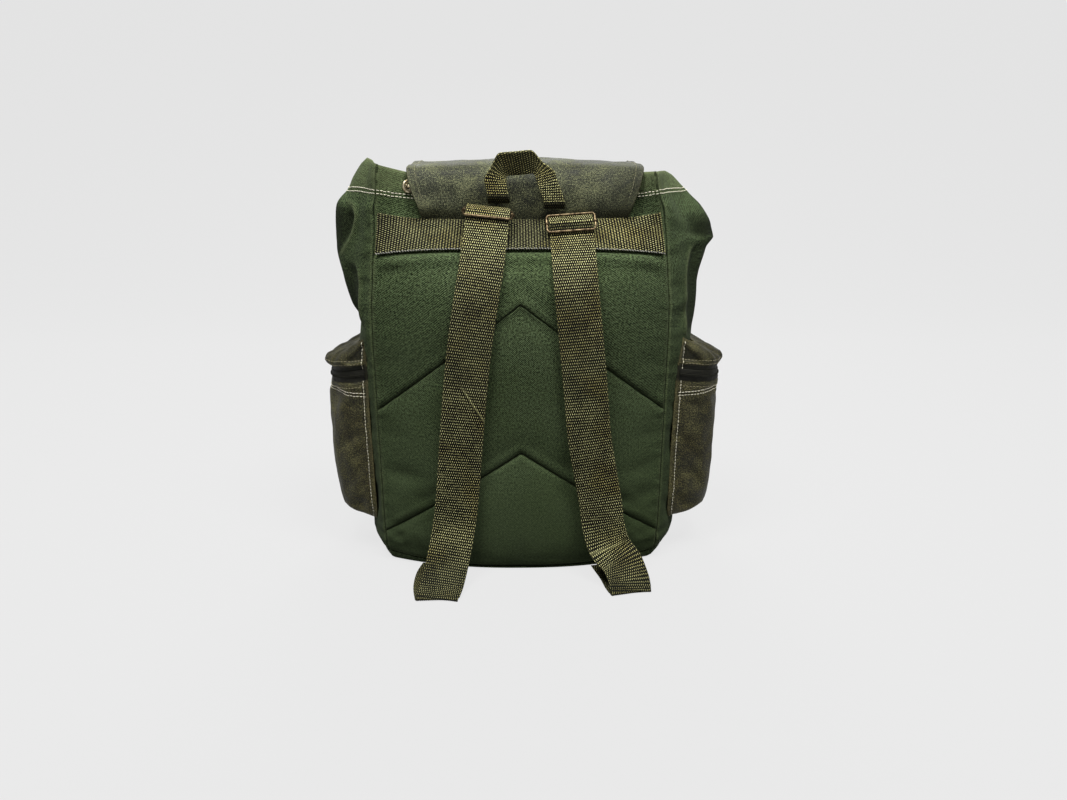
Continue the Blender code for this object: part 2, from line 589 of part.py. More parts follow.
def make_zip(name, side, material):
    """The zip's tape lies on the pocket, just under its lip."""
    lip, below = POCKET_ROWS[POCKET_LIP:POCKET_LIP + 2]
    skins = []
    for inset in (-GAP * 2 - ZIP_TAPE, -GAP * 2):
        grid = []
        for height in (ZIP_TOP, ZIP_FOOT):
            share = (lip.height - height) / (lip.height - below.height)
            row = PocketRow(height, 0, lip.out + (below.out - lip.out) * share,
                            lip.half_span + (below.half_span - lip.half_span) * share)
            line = [pocket_point(side, row, turn, inset) for turn in POCKET_TURNS]
            line[0] = line[0].lerp(line[1], ZIP_INDENT)
            line[-1] = line[-1].lerp(line[-2], ZIP_INDENT)
            grid.append(line)
        skins.append(grid)
    return make_object(name, solid_between(*skins), material)


def hem_place(outer, x):
    """The place of the eyelets' row on the outside of the back hem, and the outward direction there."""
    foot, edge = (along_back(outer[row][:BACK_RIGHT + 1], x) for row in (HEM_FOOT, HEM_EDGE))
    ahead = along_back(outer[HEM_FOOT][:BACK_RIGHT + 1], x + HEM_PROBE)
    return foot.lerp(edge, EYELET_RISE), (ahead - foot).cross(edge - foot).normalized()


def turned_ring(outline, sides):
    """A ring turned about Z from a closed outline of (radius, height)."""
    body = bmesh.new()
    rings = []
    for side in range(sides):
        turn = 2 * math.pi * side / sides
        rings.append([body.verts.new((radius * math.cos(turn), radius * math.sin(turn), height))
                      for radius, height in outline])
    for here, there in zip(rings, rings[1:] + rings[:1]):
        for index in range(len(outline)):
            other = (index + 1) % len(outline)
            body.faces.new((here[index], here[other], there[other], there[index]))
    return body


def make_eyelets(back_panel, outer, material):
    """Each eyelet has a rounded rim outside, a barrel through the hem and a flat rim inside."""
    seat = 2 * GAP
    under = -HEM_CLOTH - seat
    back_rim = 0.85 * EYELET_FLANGE
    outline = (
        (EYELET_HOLE, under - EYELET_LIP), (back_rim, under - EYELET_LIP), (back_rim, under),
        (EYELET_BARREL, under), (EYELET_BARREL, seat), (EYELET_FLANGE, seat),
        (0.93 * EYELET_FLANGE, seat + 0.8 * EYELET_LIP), (0.72 * EYELET_FLANGE, seat + 1.3 * EYELET_LIP),
        (EYELET_HOLE, seat + 0.6 * EYELET_LIP),
    )
    drill_radius = EYELET_BARREL + 1.5 * GAP
    for name, x in (("left", -EYELET_X), ("right", EYELET_X)):
        centre, out = hem_place(outer, x)
        place = Matrix.Translation(centre) @ out.to_track_quat("Z", "Y").to_matrix().to_4x4()
        eyelet = make_object("eyelet_" + name, turned_ring(outline, EYELET_SIDES), material, smooth=True)
        eyelet.data.transform(place)
        drill = bmesh.new()
        bmesh.ops.create_cone(drill, cap_ends=True, segments=EYELET_SIDES, radius1=drill_radius,
                              radius2=drill_radius, depth=5 * HEM_CLOTH)
        cutter = make_object("eyelet_hole_" + name, drill, material)
        cutter.data.transform(place)
        cutter.hide_render = True
        cutter.display_type = "WIRE"
        hole = back_panel.modifiers.new("hole " + name, "BOOLEAN")
        hole.operation = "DIFFERENCE"
        hole.object = cutter


def make_drawcord(outer, inner, normals, material):
    """Inside the hem round the sides and the front, and outside it between the eyelets, under the lid."""
    through = []
    for side in (-1, 1):
        centre, out = hem_place(outer, side * EYELET_X)
        inward = (centre - hem_place(outer, side * (EYELET_X + HEM_PROBE))[0]).normalized()
        through.append([centre + out * distance + inward * shift for distance, shift in CORD_TURN])
    outside = []
    for x in CORD_PLACES:
        centre, out = hem_place(outer, x)
        outside.append(centre + out * CORD_CLEARANCE)
    inside = []
    for column in [BACK_RIGHT - 1, *range(BACK_RIGHT + 1, LOOP_SIZE), 1]:
        foot, edge = inner[HEM_FOOT][column], inner[HEM_EDGE][column]
        inside.append(foot.lerp(edge, EYELET_RISE) - normals[HEM_EDGE][column] * CORD_CLEARANCE)
    points = through[0] + outside + through[1][::-1] + inside
    fine = []
    for index, start in enumerate(points):
        before, end, after = (points[(index + shift) % len(points)] for shift in (-1, 1, 2))
        fine += curve_points(before, start, end, after, max(1, round((end - start).length / CORD_STEP)))
    return make_object("drawcord", tube(fine, CORD_RADIUS, CORD_SIDES, True), material, smooth=True)


def main():
    clear_scene()
    oxford = make_material("green_oxford", (0.032, 0.062, 0.026), 0.85)
    canvas = make_material("waxed_canvas", (0.050, 0.052, 0.034), 0.75)
    webbing = make_material("olive_webbing", (0.085, 0.088, 0.040), 0.80)
    wire = make_material("antique_brass_wire", (0.42, 0.33, 0.20), 0.35, 1.0)
    brass = make_material("eyelet_brass", (0.60, 0.47, 0.28), 0.35, 1.0)
    tape = make_material("zip_tape", (0.012, 0.014, 0.010), 0.70)
    cord = make_material("cream_cord", (0.60, 0.55, 0.42), 0.80)

    outer, inner, normals = bag_surfaces()
    panels = make_panels(outer, inner, oxford)
    make_base(outer, inner, oxford)
    make_band(outer, normals, webbing)
    make_lid(outer, normals, canvas)
    make_strap("shoulder_strap_left", STRAP_LEFT, webbing)
    make_strap("shoulder_strap_right", STRAP_RIGHT, webbing)
    for side, slider in SLIDERS.items():
        make_slider("strap_slider_" + side, slider, wire)
    make_handle(webbing)
    for name, side in (("left", -1), ("right", 1)):
        make_pocket("side_pocket_" + name, side, canvas)
        make_zip("pocket_zip_" + name, side, tape)
    make_eyelets(panels["back_panel"], outer, brass)
    make_drawcord(outer, inner, normals, cord)


main()
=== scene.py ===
# Hunting rucksack, seen from the side that lies on the wearer's back.
# Metres, +Z up. The back panel with the straps faces -Y, +X is on the right of someone who looks at it.
import math
from functools import partial

import bmesh
import bpy
import numpy as np
from mathutils import Matrix, Vector, noise


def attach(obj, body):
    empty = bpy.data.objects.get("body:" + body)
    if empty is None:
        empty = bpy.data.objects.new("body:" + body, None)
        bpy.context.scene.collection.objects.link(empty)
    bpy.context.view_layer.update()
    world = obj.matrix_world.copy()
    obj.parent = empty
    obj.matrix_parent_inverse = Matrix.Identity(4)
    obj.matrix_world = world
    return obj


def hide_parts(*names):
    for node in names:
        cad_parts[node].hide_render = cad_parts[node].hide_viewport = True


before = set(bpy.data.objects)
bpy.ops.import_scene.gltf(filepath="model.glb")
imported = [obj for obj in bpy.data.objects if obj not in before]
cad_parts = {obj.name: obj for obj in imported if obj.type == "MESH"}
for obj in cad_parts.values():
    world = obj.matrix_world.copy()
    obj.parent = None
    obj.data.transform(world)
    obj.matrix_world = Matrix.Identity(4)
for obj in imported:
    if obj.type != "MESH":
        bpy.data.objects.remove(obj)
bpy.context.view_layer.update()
print("frame loaded")

tau = 2 * math.pi


# Tables, distances and noise.

def between(table, places, rounded=False):
    # Values of a table at fractional row numbers, on a cubic that doesn't overshoot (or a rounder one).
    table = np.asarray(table, float)
    places = np.clip(np.asarray(places, float), 0, len(table) - 1)
    steps = np.diff(table, axis=0)
    total, product = steps[1:] + steps[:-1], steps[1:] * steps[:-1]
    slopes = np.empty_like(table)
    slopes[0], slopes[-1] = steps[0], steps[-1]
    slopes[1:-1] = total / 2 if rounded else np.where(product > 0, 2 * product / np.where(product > 0, total, 1), 0)
    first = np.minimum(places.astype(int), len(table) - 2)
    t = (places - first).reshape((-1,) + (1,) * (table.ndim - 1))
    return (table[first] * (1 + 2 * t) * (1 - t) ** 2 + slopes[first] * t * (1 - t) ** 2
            + table[first + 1] * t * t * (3 - 2 * t) + slopes[first + 1] * t * t * (t - 1))


def evenPlaces(table, steps):
    # Fractional row numbers, with so many steps from each row of a table to the next.
    return np.linspace(0, len(table) - 1, steps * (len(table) - 1) + 1)


def unit(vectors):
    return vectors / np.maximum(np.linalg.norm(vectors, axis=-1, keepdims=True), 1e-12)


def facing(normals, way):
    # The normals, turned over if they point against a direction on average.
    return normals if float(np.sum(normals * way, axis=-1).mean()) > 0 else -normals


def lengths(points):
    # Distance travelled along the first axis of an array of points.
    return np.concatenate([np.zeros((1,) + points.shape[1:-1]),
                           np.cumsum(np.linalg.norm(np.diff(points, axis=0), axis=-1), axis=0)])


def widths(grid):
    # Distance travelled across a grid, along its second axis.
    return lengths(np.swapaxes(grid, 0, 1)).T


def readAt(stops, travelled, rows):
    # Points, or rows of a table, at other distances than those that they stand at.
    return np.stack([np.interp(stops, travelled, column) for column in rows.T], axis=-1)


def resample(points, count, first=(0,), last=(0,)):
    # The same line, or each column of a grid, at even distances. first and last are the distances of the
    # rows that stand closer together at its two ends.
    travelled = lengths(points).reshape(len(points), -1)
    flat = points.reshape(len(points), -1, 3)
    shares = np.linspace(0, 1, count)[1:-1]
    result = []
    for column, distances in enumerate(travelled.T):
        total = distances[-1]
        scale = min(1, 0.4 * total / max(first[-1] + last[-1], 1e-9))
        near, far = np.array(first) * scale, total - np.array(last)[::-1] * scale
        stops = np.concatenate([near, near[-1] + shares * (far[0] - near[-1]), far])
        result.append(readAt(stops, distances, flat[:, column]))
    return np.stack(result, axis=1).reshape((-1,) + points.shape[1:])


def gridNormals(grid):
    return unit(np.cross(np.gradient(grid, axis=1), np.gradient(grid, axis=0)))


def noiseField(grid, size, seed=0.0):
    # Smooth noise from -1 to 1 at each point, with bumps about as wide as size.
    flat = grid.reshape(-1, 3) / size + seed
    return np.array([noise.noise(Vector(point)) for point in flat]).reshape(grid.shape[:-1])


def bell(distance, width):
    return np.exp(-(distance / width) ** 2)


def fade(value, start, width):
    # Rises smoothly from 0 at start to 1 a width further on. It falls back from start if width is negative.
    share = np.clip((value - start) / width, 0, 1)
    return share * share * (3 - 2 * share)


# The bag's sections from its foot to its mouth: height, half width, back seams, middle of the back panel and
# its rise, exponents of bulge and rise, front seams, middle of the front, reach left and right, fold, hollow.
sectionNames = "height width back belly rise flat peak front bow left right fold hollow".split()
sections = np.array([
    (0.012, 0.164, -0.083, -0.114, 0.003, 2.4, 2.4, 0.083, 0.104, 0.181, 0.185, 2.2, 0.000),
    (0.023, 0.167, -0.085, -0.117, 0.022, 2.4, 2.0, 0.085, 0.107, 0.189, 0.194, 2.2, 0.000),
    (0.027, 0.167, -0.086, -0.119, 0.060, 2.4, 1.5, 0.085, 0.108, 0.190, 0.195, 2.2, 0.000),
    (0.031, 0.167, -0.086, -0.120, 0.102, 2.4, 1.2, 0.086, 0.109, 0.190, 0.196, 2.2, 0.000),
    (0.035, 0.167, -0.086, -0.120, 0.144, 2.4, 1.0, 0.086, 0.109, 0.190, 0.196, 2.2, 0.000),
    (0.039, 0.168, -0.086, -0.120, 0.150, 2.4, 1.0, 0.086, 0.109, 0.190, 0.196, 2.2, 0.000),
    (0.043, 0.168, -0.086, -0.120, 0.156, 2.4, 1.0, 0.086, 0.110, 0.190, 0.196, 2.2, 0.000),
    (0.085, 0.169, -0.087, -0.120, 0.200, 2.4, 1.0, 0.087, 0.112, 0.192, 0.198, 2.2, 0.000),
    (0.140, 0.170, -0.087, -0.119, 0.262, 2.4, 1.0, 0.087, 0.113, 0.194, 0.199, 2.2, 0.000),
    (0.189, 0.171, -0.087, -0.115, 0.317, 2.4, 1.0, 0.087, 0.112, 0.196, 0.201, 2.2, 0.000),
    (0.193, 0.171, -0.087, -0.115, 0.323, 2.4, 1.0, 0.087, 0.112, 0.196, 0.201, 2.2, 0.000),
    (0.197, 0.171, -0.087, -0.114, 0.329, 2.4, 1.0, 0.087, 0.112, 0.196, 0.202, 2.2, 0.000),
    (0.240, 0.172, -0.086, -0.112, 0.340, 2.5, 1.4, 0.086, 0.109, 0.197, 0.207, 2.1, 0.000),
    (0.285, 0.173, -0.085, -0.108, 0.351, 2.6, 2.0, 0.083, 0.104, 0.198, 0.213, 2.0, 0.001),
    (0.312, 0.173, -0.084, -0.104, 0.360, 2.8, 3.0, 0.080, 0.099, 0.208, 0.217, 1.8, 0.003),
    (0.345, 0.171, -0.082, -0.098, 0.371, 3.0, 4.0, 0.076, 0.092, 0.216, 0.2212, 1.6, 0.005),
    (0.376, 0.169, -0.080, -0.090, 0.382, 4.0, 4.0, 0.072, 0.084, 0.221, 0.2280, 1.4, 0.008),
    (0.400, 0.167, -0.079, -0.070, 0.397, 4.0, 4.0, 0.069, 0.077, 0.2205, 0.2300, 1.3, 0.010),
    (0.424, 0.165, -0.078, -0.050, 0.411, 4.0, 4.0, 0.066, 0.070, 0.2175, 0.2195, 1.3, 0.010),
    (0.444, 0.160, -0.077, -0.041, 0.434, 4.0, 4.0, 0.063, 0.064, 0.204, 0.2015, 1.3, 0.007),
    (0.470, 0.157, -0.076, -0.035, 0.464, 4.0, 4.0, 0.060, 0.058, 0.183, 0.182, 1.3, 0.003),
])
quiltLow, quiltHigh, bandFoot, bandTop, hemFoot, hemEdge = 5, 10, 16, 18, 19, 20


def sectionAt(rows):
    return dict(zip(sectionNames, between(sections, rows).T[..., None]))


def profile(places, exponent):
    return 1 - np.abs(places) ** exponent


# The mouth leans a little to the left, and its edge isn't level: lift of the back corner, of the ear's tip and
# of the front corner on each side. The right ear ends in a corner.
mouth = {"lean": -0.004, "leanFrom": 0.395, "leanTo": 0.470, "tip": -0.33, "cornerFrom": 0.78,
         -1: (0.006, 0.013, -0.012), 1: (-0.002, -0.002, -0.014)}
earCorner = {"height": 0.388, "reach": 0.013, -1: 0, 1: 0.0045}
frontSag = ((0, 1, 18, 19, 20), (0.009, 0, 0, 0.008, 0.016))       # section rows, and how far the middle hangs
footRise = -0.008                                                   # of the side panels' middle


def leaned(x, z):
    return x + mouth["lean"] * fade(z, mouth["leanFrom"], mouth["leanTo"] - mouth["leanFrom"])


def pastHem(rows):
    return np.clip(np.asarray(rows) - hemFoot, 0, 1)[:, None]


def overRows(rows, places):
    return np.broadcast_to(places, (len(rows), np.shape(places)[-1]))


def backSurface(rows, places):
    s, places = sectionAt(rows), overRows(rows, places)
    corner = np.clip((np.abs(places) - mouth["cornerFrom"]) / (1 - mouth["cornerFrom"]), 0, 1)
    z = s["height"] + (s["rise"] - s["height"]) * profile(places, s["peak"])
    z = z + corner * np.where(places < 0, mouth[-1][0], mouth[1][0]) * pastHem(rows)
    y = s["back"] + (s["belly"] - s["back"]) * profile(places, s["flat"])
    return np.stack([leaned(s["width"] * places, z), y, z], axis=-1)


def frontSurface(rows, places):
    s, places = sectionAt(rows), overRows(rows, places)
    z = s["height"] - np.interp(rows, *frontSag)[:, None] * profile(places, 2)
    z = z + np.where(places < 0, mouth[-1][2], mouth[1][2]) * np.abs(places) * pastHem(rows)
    y = s["front"] + (s["bow"] - s["front"]) * profile(places, 2.2)
    return np.stack([leaned(s["width"] * places, z), y, z], axis=-1)


def sideReach(s, places, side, corner=0):
    # How far the side panel stands out at places from -1 at its back seam to 1 at its front seam.
    reach = s["right" if side > 0 else "left"] + corner
    x = s["width"] + (reach - s["width"]) * profile(places, s["fold"])
    return x - s["hollow"] * np.sin(math.pi * places) ** 2


def sideSurface(rows, places, side):
    s, places = sectionAt(rows), overRows(rows, places)
    corner = earCorner[side] * np.clip(1 - np.abs(s["height"] - earCorner["height"]) / earCorner["reach"], 0, 1)
    lift = footRise * np.clip(1 - rows, 0, 1)[:, None] * profile(places, 1.6)
    z = s["height"] + lift + np.interp(places, (-1, mouth["tip"], 1), mouth[side]) * pastHem(rows)
    y = s["back"] + (s["front"] - s["back"]) * (places + 1) / 2
    return np.stack([leaned(side * sideReach(s, places, side, corner), z), y, z], axis=-1)


seamSteps = (0, 0.0005, 0.0011, 0.0019, 0.0030)     # distances of the finer columns beside a seam
creaseSteps = (0, 0.0005, 0.0011, 0.0020, 0.0032)   # and of the finer rows beside a sharp row


def panelGrid(surface, breaks, step, half, sharp=()):
    # A panel at about even steps, closer at its seams and at the sharp rows, and the numbers of the rows that
    # its breaks fall on.
    near = np.array(seamSteps)
    inner = np.arange(-half + near[-1] + step, half - near[-1] - step / 2, step)
    places = np.concatenate([-half + near, inner, half - near[::-1]]) / half
    parts, marks = [], [0]
    for first, last in zip(breaks, breaks[1:]):
        fine = surface(np.linspace(first, last, 14 * (last - first) + 1), places)
        count = max(3, round(float(np.mean(lengths(fine)[-1])) / step)) + 1
        part = resample(fine, count, *(creaseSteps if row in sharp else (0,) for row in (first, last)))
        parts.append(part if first == breaks[0] else part[1:])
        marks.append(marks[-1] + len(part) - 1)
    return np.concatenate(parts), marks


# Meshes.

def numbered(rows, columns, start=0):
    return start + np.arange(rows * columns).reshape(rows, columns)


def gridFaces(numbers, around=False, closed=False):
    # Faces between neighbours in a grid of vertex numbers, which may close on itself across and along.
    if around:
        numbers = np.concatenate([numbers, numbers[:, :1]], axis=1)
    if closed:
        numbers = np.concatenate([numbers, numbers[:1]])
    corners = numbers[:-1, :-1], numbers[:-1, 1:], numbers[1:, 1:], numbers[1:, :-1]
    return np.stack(corners, axis=-1).reshape(-1, 4).tolist()


def newObject(name, vertices, faces, material, uv, marks=None):
    mesh = bpy.data.meshes.new(name)
    mesh.from_pydata([tuple(v) for v in vertices], [], faces)
    layer = mesh.uv_layers.new(name="weave")
    corners = np.empty(len(mesh.loops), dtype=np.int32)
    mesh.loops.foreach_get("vertex_index", corners)
    layer.data.foreach_set("uv", np.asarray(uv, np.float32)[corners].ravel())
    for mark, values in (marks or {}).items():
        mesh.attributes.new(mark, "FLOAT", "POINT").data.foreach_set("value", np.asarray(values, np.float32))
    body = bmesh.new()
    body.from_mesh(mesh)
    bmesh.ops.recalc_face_normals(body, faces=body.faces)
    body.to_mesh(mesh)
    body.free()
    mesh.materials.append(material)
    mesh.shade_smooth()
    mesh.set_sharp_from_angle(angle=math.radians(60))
    item = bpy.data.objects.new(name, mesh)
    bpy.context.scene.collection.objects.link(item)
    return item


def edgeDistance(grid, edges="tblr"):
    # Distance of each point to the nearest of the named edges: top is the last row.
    along, across = lengths(grid), widths(grid)
    choices = {"b": along, "t": along[-1] - along, "l": across, "r": across[:, -1:] - across}
    return np.minimum.reduce([choices[edge] for edge in edges])


def shell(name, outer, thickness, material, inward=None, marks=None, rounded="tblr"):
    # A sheet with its real thickness under the outer grid, with round edges. Its weave keeps its size where
    # the sheet bends, because the texture coordinates are distances on it.
    rows, columns = outer.shape[:2]
    inward = -gridNormals(outer) if inward is None else inward
    thickness = np.broadcast_to(thickness, (rows, columns))
    share = np.clip(edgeDistance(outer, rounded) / (thickness / 2), 0.03, 1)
    fullness = np.sqrt(1 - (1 - share) ** 2)
    upper = outer + inward * (thickness * (1 - fullness) / 2)[..., None]
    lower = outer + inward * (thickness * (1 + fullness) / 2)[..., None]
    numbers = numbered(rows, columns)
    below = rows * columns
    rim = np.concatenate([numbers[0, :-1], numbers[:-1, -1], numbers[-1, :0:-1], numbers[:0:-1, 0]])
    faces = gridFaces(numbers) + gridFaces(numbers + below) + gridFaces(np.stack([rim, rim + below]), around=True)
    across = widths(outer)
    uv = np.stack([across - across[:, -1:] / 2, lengths(outer)], axis=-1).reshape(-1, 2)
    doubled = {mark: np.tile(values.ravel(), 2) for mark, values in (marks or {}).items()}
    return newObject(name, np.concatenate([upper.reshape(-1, 3), lower.reshape(-1, 3)]), faces, material,
                     np.concatenate([uv, uv]), doubled)


def tubeMesh(stations, radius, sides, closed=False, lobes=0, pitch=1.0, depth=0.0):
    # Vertices and faces of a tube through points. With lobes it is twisted out of that many strands.
    stations = np.asarray(stations, float)
    count = len(stations)
    if closed:
        along = unit(np.roll(stations, -1, axis=0) - np.roll(stations, 1, axis=0))
    else:
        along = unit(np.gradient(stations, axis=0))
    across = np.empty_like(stations)
    previous = np.cross(along[0], (0.3, 0.2, 0.93))
    for index in range(count):
        previous = previous - along[index] * previous.dot(along[index])
        previous = previous / np.linalg.norm(previous)
        across[index] = previous
    upward = np.cross(along, across)
    travelled = lengths(stations)
    turns = np.broadcast_to(np.arange(sides) * tau / sides, (count, sides))
    if closed:      # spread the twist that is left over where the ring closes
        left = math.atan2(across[0].dot(upward[-1]), across[0].dot(across[-1]))
        turns = turns + left * (travelled / travelled[-1])[:, None]
    size = np.broadcast_to(np.reshape(radius, (-1, 1)), (count, sides)).astype(float)
    if lobes:
        size = size * (1 - depth * (1 - np.abs(np.cos(lobes / 2 * (turns - tau * travelled[:, None] / pitch)))))
    points = (stations[:, None] + size[..., None] * (np.cos(turns)[..., None] * across[:, None]
                                                     + np.sin(turns)[..., None] * upward[:, None]))
    faces = gridFaces(numbered(count, sides), around=True, closed=closed)
    if not closed:
        faces += [tuple(range(sides)), tuple(range((count - 1) * sides, count * sides))]
    uv = np.stack([turns * float(np.mean(radius)), np.broadcast_to(travelled[:, None], size.shape)], axis=-1)
    return points.reshape(-1, 3), faces, uv.reshape(-1, 2)


def joined(name, parts, material):
    # One object from several (vertices, faces, uv) meshes.
    starts = np.cumsum([0] + [len(points) for points, _, _ in parts])
    faces = [tuple(corner + int(start) for corner in face)
             for start, (_, partFaces, _) in zip(starts, parts) for face in partFaces]
    return newObject(name, np.concatenate([part[0] for part in parts]), faces, material,
                     np.concatenate([part[2] for part in parts]))


stitchRise = np.array([-0.6, 0.55, 0.8, 0.55, -0.6])    # height along a stitch, in its thread's radii
stitchTaper = np.array([0.7, 1, 1, 1, 0.7])             # its own radius along it
stitchJitter = 0.06                                     # how far it strays, as a share of the pitch


def stitchRow(path, normals, spec, seed=0):
    # Thread stitches along a line of points: each dips into the cloth at both ends.
    travelled = lengths(path)
    random = np.random.default_rng(seed)
    count = max(1, round(float(travelled[-1]) / spec["pitch"]))
    step = float(travelled[-1]) / count
    shares = np.linspace(0, 1, 5)
    side = unit(np.cross(np.gradient(path, axis=0), normals))
    parts = []
    for index in range(count):
        start = step * (index + 0.5 + random.uniform(-stitchJitter, stitchJitter)) - spec["length"] / 2
        stops = np.clip(start + shares * spec["length"], 0, travelled[-1])
        drift = random.uniform(-stitchJitter, stitchJitter) * spec["pitch"] + (shares - 0.5) * spec.get("slant", 0)
        points = (readAt(stops, travelled, path)
                  + readAt(stops, travelled, normals) * (stitchRise * spec["radius"])[:, None]
                  + readAt(stops, travelled, side) * drift[:, None])
        parts.append(tubeMesh(points, spec["radius"] * stitchTaper, 5))
    return parts


def ridesAs(item, slotName, *nodes):
    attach(item, "root")
    if nodes:
        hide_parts(*nodes)
    return item


clothSettings = {"quality": 6, "mass": 0.25, "tension_stiffness": 12, "compression_stiffness": 12,
                 "shear_stiffness": 4, "bending_stiffness": 0.6, "use_pressure": True, "vertex_group_mass": "held"}
clothFrames = 20


def settleCloth(grid, held, spec):
    # A short cloth simulation of a coarser copy, whose moves are capped and carried over to the grid.
    rows, columns = [np.unique(np.round(np.linspace(0, size - 1, size // 2 + 1)).astype(int))
                     for size in grid.shape[:2]]
    coarse = grid[np.ix_(rows, columns)]
    mesh = bpy.data.meshes.new("cloth trial")
    mesh.from_pydata(coarse.reshape(-1, 3).tolist(), [], gridFaces(numbered(len(rows), len(columns))))
    item = bpy.data.objects.new("cloth trial", mesh)
    scene = bpy.context.scene
    scene.collection.objects.link(item)
    group = item.vertex_groups.new(name="held")
    for index, weight in enumerate(np.clip(held[np.ix_(rows, columns)], 0, 1).ravel()):
        if weight > 0.01:
            group.add([index], float(weight), "REPLACE")
    outward = gridNormals(coarse)
    way = np.array([polygon.normal for polygon in mesh.polygons]).reshape(len(rows) - 1, len(columns) - 1, 3)
    sign = 1 if float(np.mean(np.sum(way * outward[:-1, :-1], axis=-1))) > 0 else -1
    settings = item.modifiers.new("cloth", "CLOTH").settings
    for name, value in clothSettings.items():
        setattr(settings, name, value)
    settings.shrink_min = -spec["slack"]
    settings.uniform_pressure_force = sign * spec["pressure"]
    settings.effector_weights.gravity = 0
    for number in range(1, clothFrames + 1):
        scene.frame_set(number)
    settled = item.evaluated_get(bpy.context.evaluated_depsgraph_get())
    moved = np.array([vertex.co[:] for vertex in settled.data.vertices]).reshape(coarse.shape) - coarse
    size = np.linalg.norm(moved, axis=-1, keepdims=True)
    moved = moved * (spec["cap"] * np.tanh(size / spec["cap"]) / np.maximum(size, 1e-9))
    bpy.data.objects.remove(item, do_unlink=True)
    scene.frame_set(1)
    spread = np.stack([readAt(np.arange(grid.shape[1]), columns, row) for row in moved])
    spread = np.stack([readAt(np.arange(grid.shape[0]), rows, column) for column in np.swapaxes(spread, 0, 1)],
                      axis=1)
    for _ in range(3):
        padded = np.pad(spread, ((1, 1), (1, 1), (0, 0)), mode="edge")
        beside = padded[:-2, 1:-1] + padded[2:, 1:-1] + padded[1:-1, :-2] + padded[1:-1, 2:]
        spread = (2 * spread + beside / 2) / 4
    return grid + spread


# Materials.

def linear(hexColour):
    channels = [int(hexColour[place:place + 2], 16) / 255 for place in (1, 3, 5)]
    return (*[c / 12.92 if c <= 0.04045 else ((c + 0.055) / 1.055) ** 2.4 for c in channels], 1)


def fillSockets(tree, node, inputs):
    for socket, value in inputs.items():
        if isinstance(value, bpy.types.NodeSocket):
            tree.links.new(value, node.inputs[socket])
        else:
            node.inputs[socket].default_value = value


def addNode(tree, kind, inputs=None, out=0, stops=(), **settings):
    # A node with its settings, values and links. It returns the output that is used.
    node = tree.nodes.new("ShaderNode" + kind)
    for name, value in settings.items():
        setattr(node, name, value)
    fillSockets(tree, node, inputs or {})
    if stops:
        elements = node.color_ramp.elements
        while len(elements) < len(stops):
            elements.new(0.5)
        for element, (position, colour) in zip(elements, stops):
            element.position, element.color = position, linear(colour)
    return node.outputs[out]


def newMaterial(name):
    material = bpy.data.materials.new(name)
    material.use_nodes = True
    return material, partial(addNode, material.node_tree)


def finished(material, inputs):
    fillSockets(material.node_tree, material.node_tree.nodes["Principled BSDF"], inputs)
    return material


def weighted(add, total, *terms):
    # Adds signals to a first one, each times its share.
    for signal, share in terms:
        total = add("Math", {0: signal, 1: share, 2: total}, operation="MULTIPLY_ADD")
    return total


def waveScale(pitch):
    # The wave texture's scale that gives one band each pitch metres.
    return tau / (20 * pitch)


def lattice(add, coordinates, weave):
    # From -1 to 1: staggered dots, the weave's across apart in a row and two rows in its along.
    bands = [add("TexWave", {"Vector": coordinates, "Scale": waveScale(weave[way])}, "Fac", bands_direction=axis)
             for axis, way in (("X", "across"), ("Y", "along"))]
    signed = [add("Math", {0: band, 1: 2.0, 2: -1.0}, operation="MULTIPLY_ADD") for band in bands]
    return add("Math", {0: signed[0], 1: signed[1]}, operation="MULTIPLY")


def agedAndShaded(add, colour, *layers):
    # Lays (amount, colour, blend) layers on a colour, and last the dust and painted shade of seams, folds and
    # shaded parts, towards near black.
    dustAndShade = add("Attribute", out="Fac", attribute_name="dustAndShade")
    share = add("Math", {0: dustAndShade, 1: 0.9}, operation="MULTIPLY")
    for amount, over, blend in (*layers, (share, "#0B0D07", "MIX")):
        colour = add("Mix", {0: amount, 6: colour, 7: linear(over)}, 2, data_type="RGBA", blend_type=blend)
    return colour


oxfordCloth = {
    "dark": "#070A05", "light": "#5F6F4C", "fade": "#848E66", "worn": "#919A6E",
    "across": 0.0032, "along": 0.0023,   # real threads are 0.5 mm apart; drawn coarser so that they show
    "relief": 0.00022, "roughness": 0.86,
}


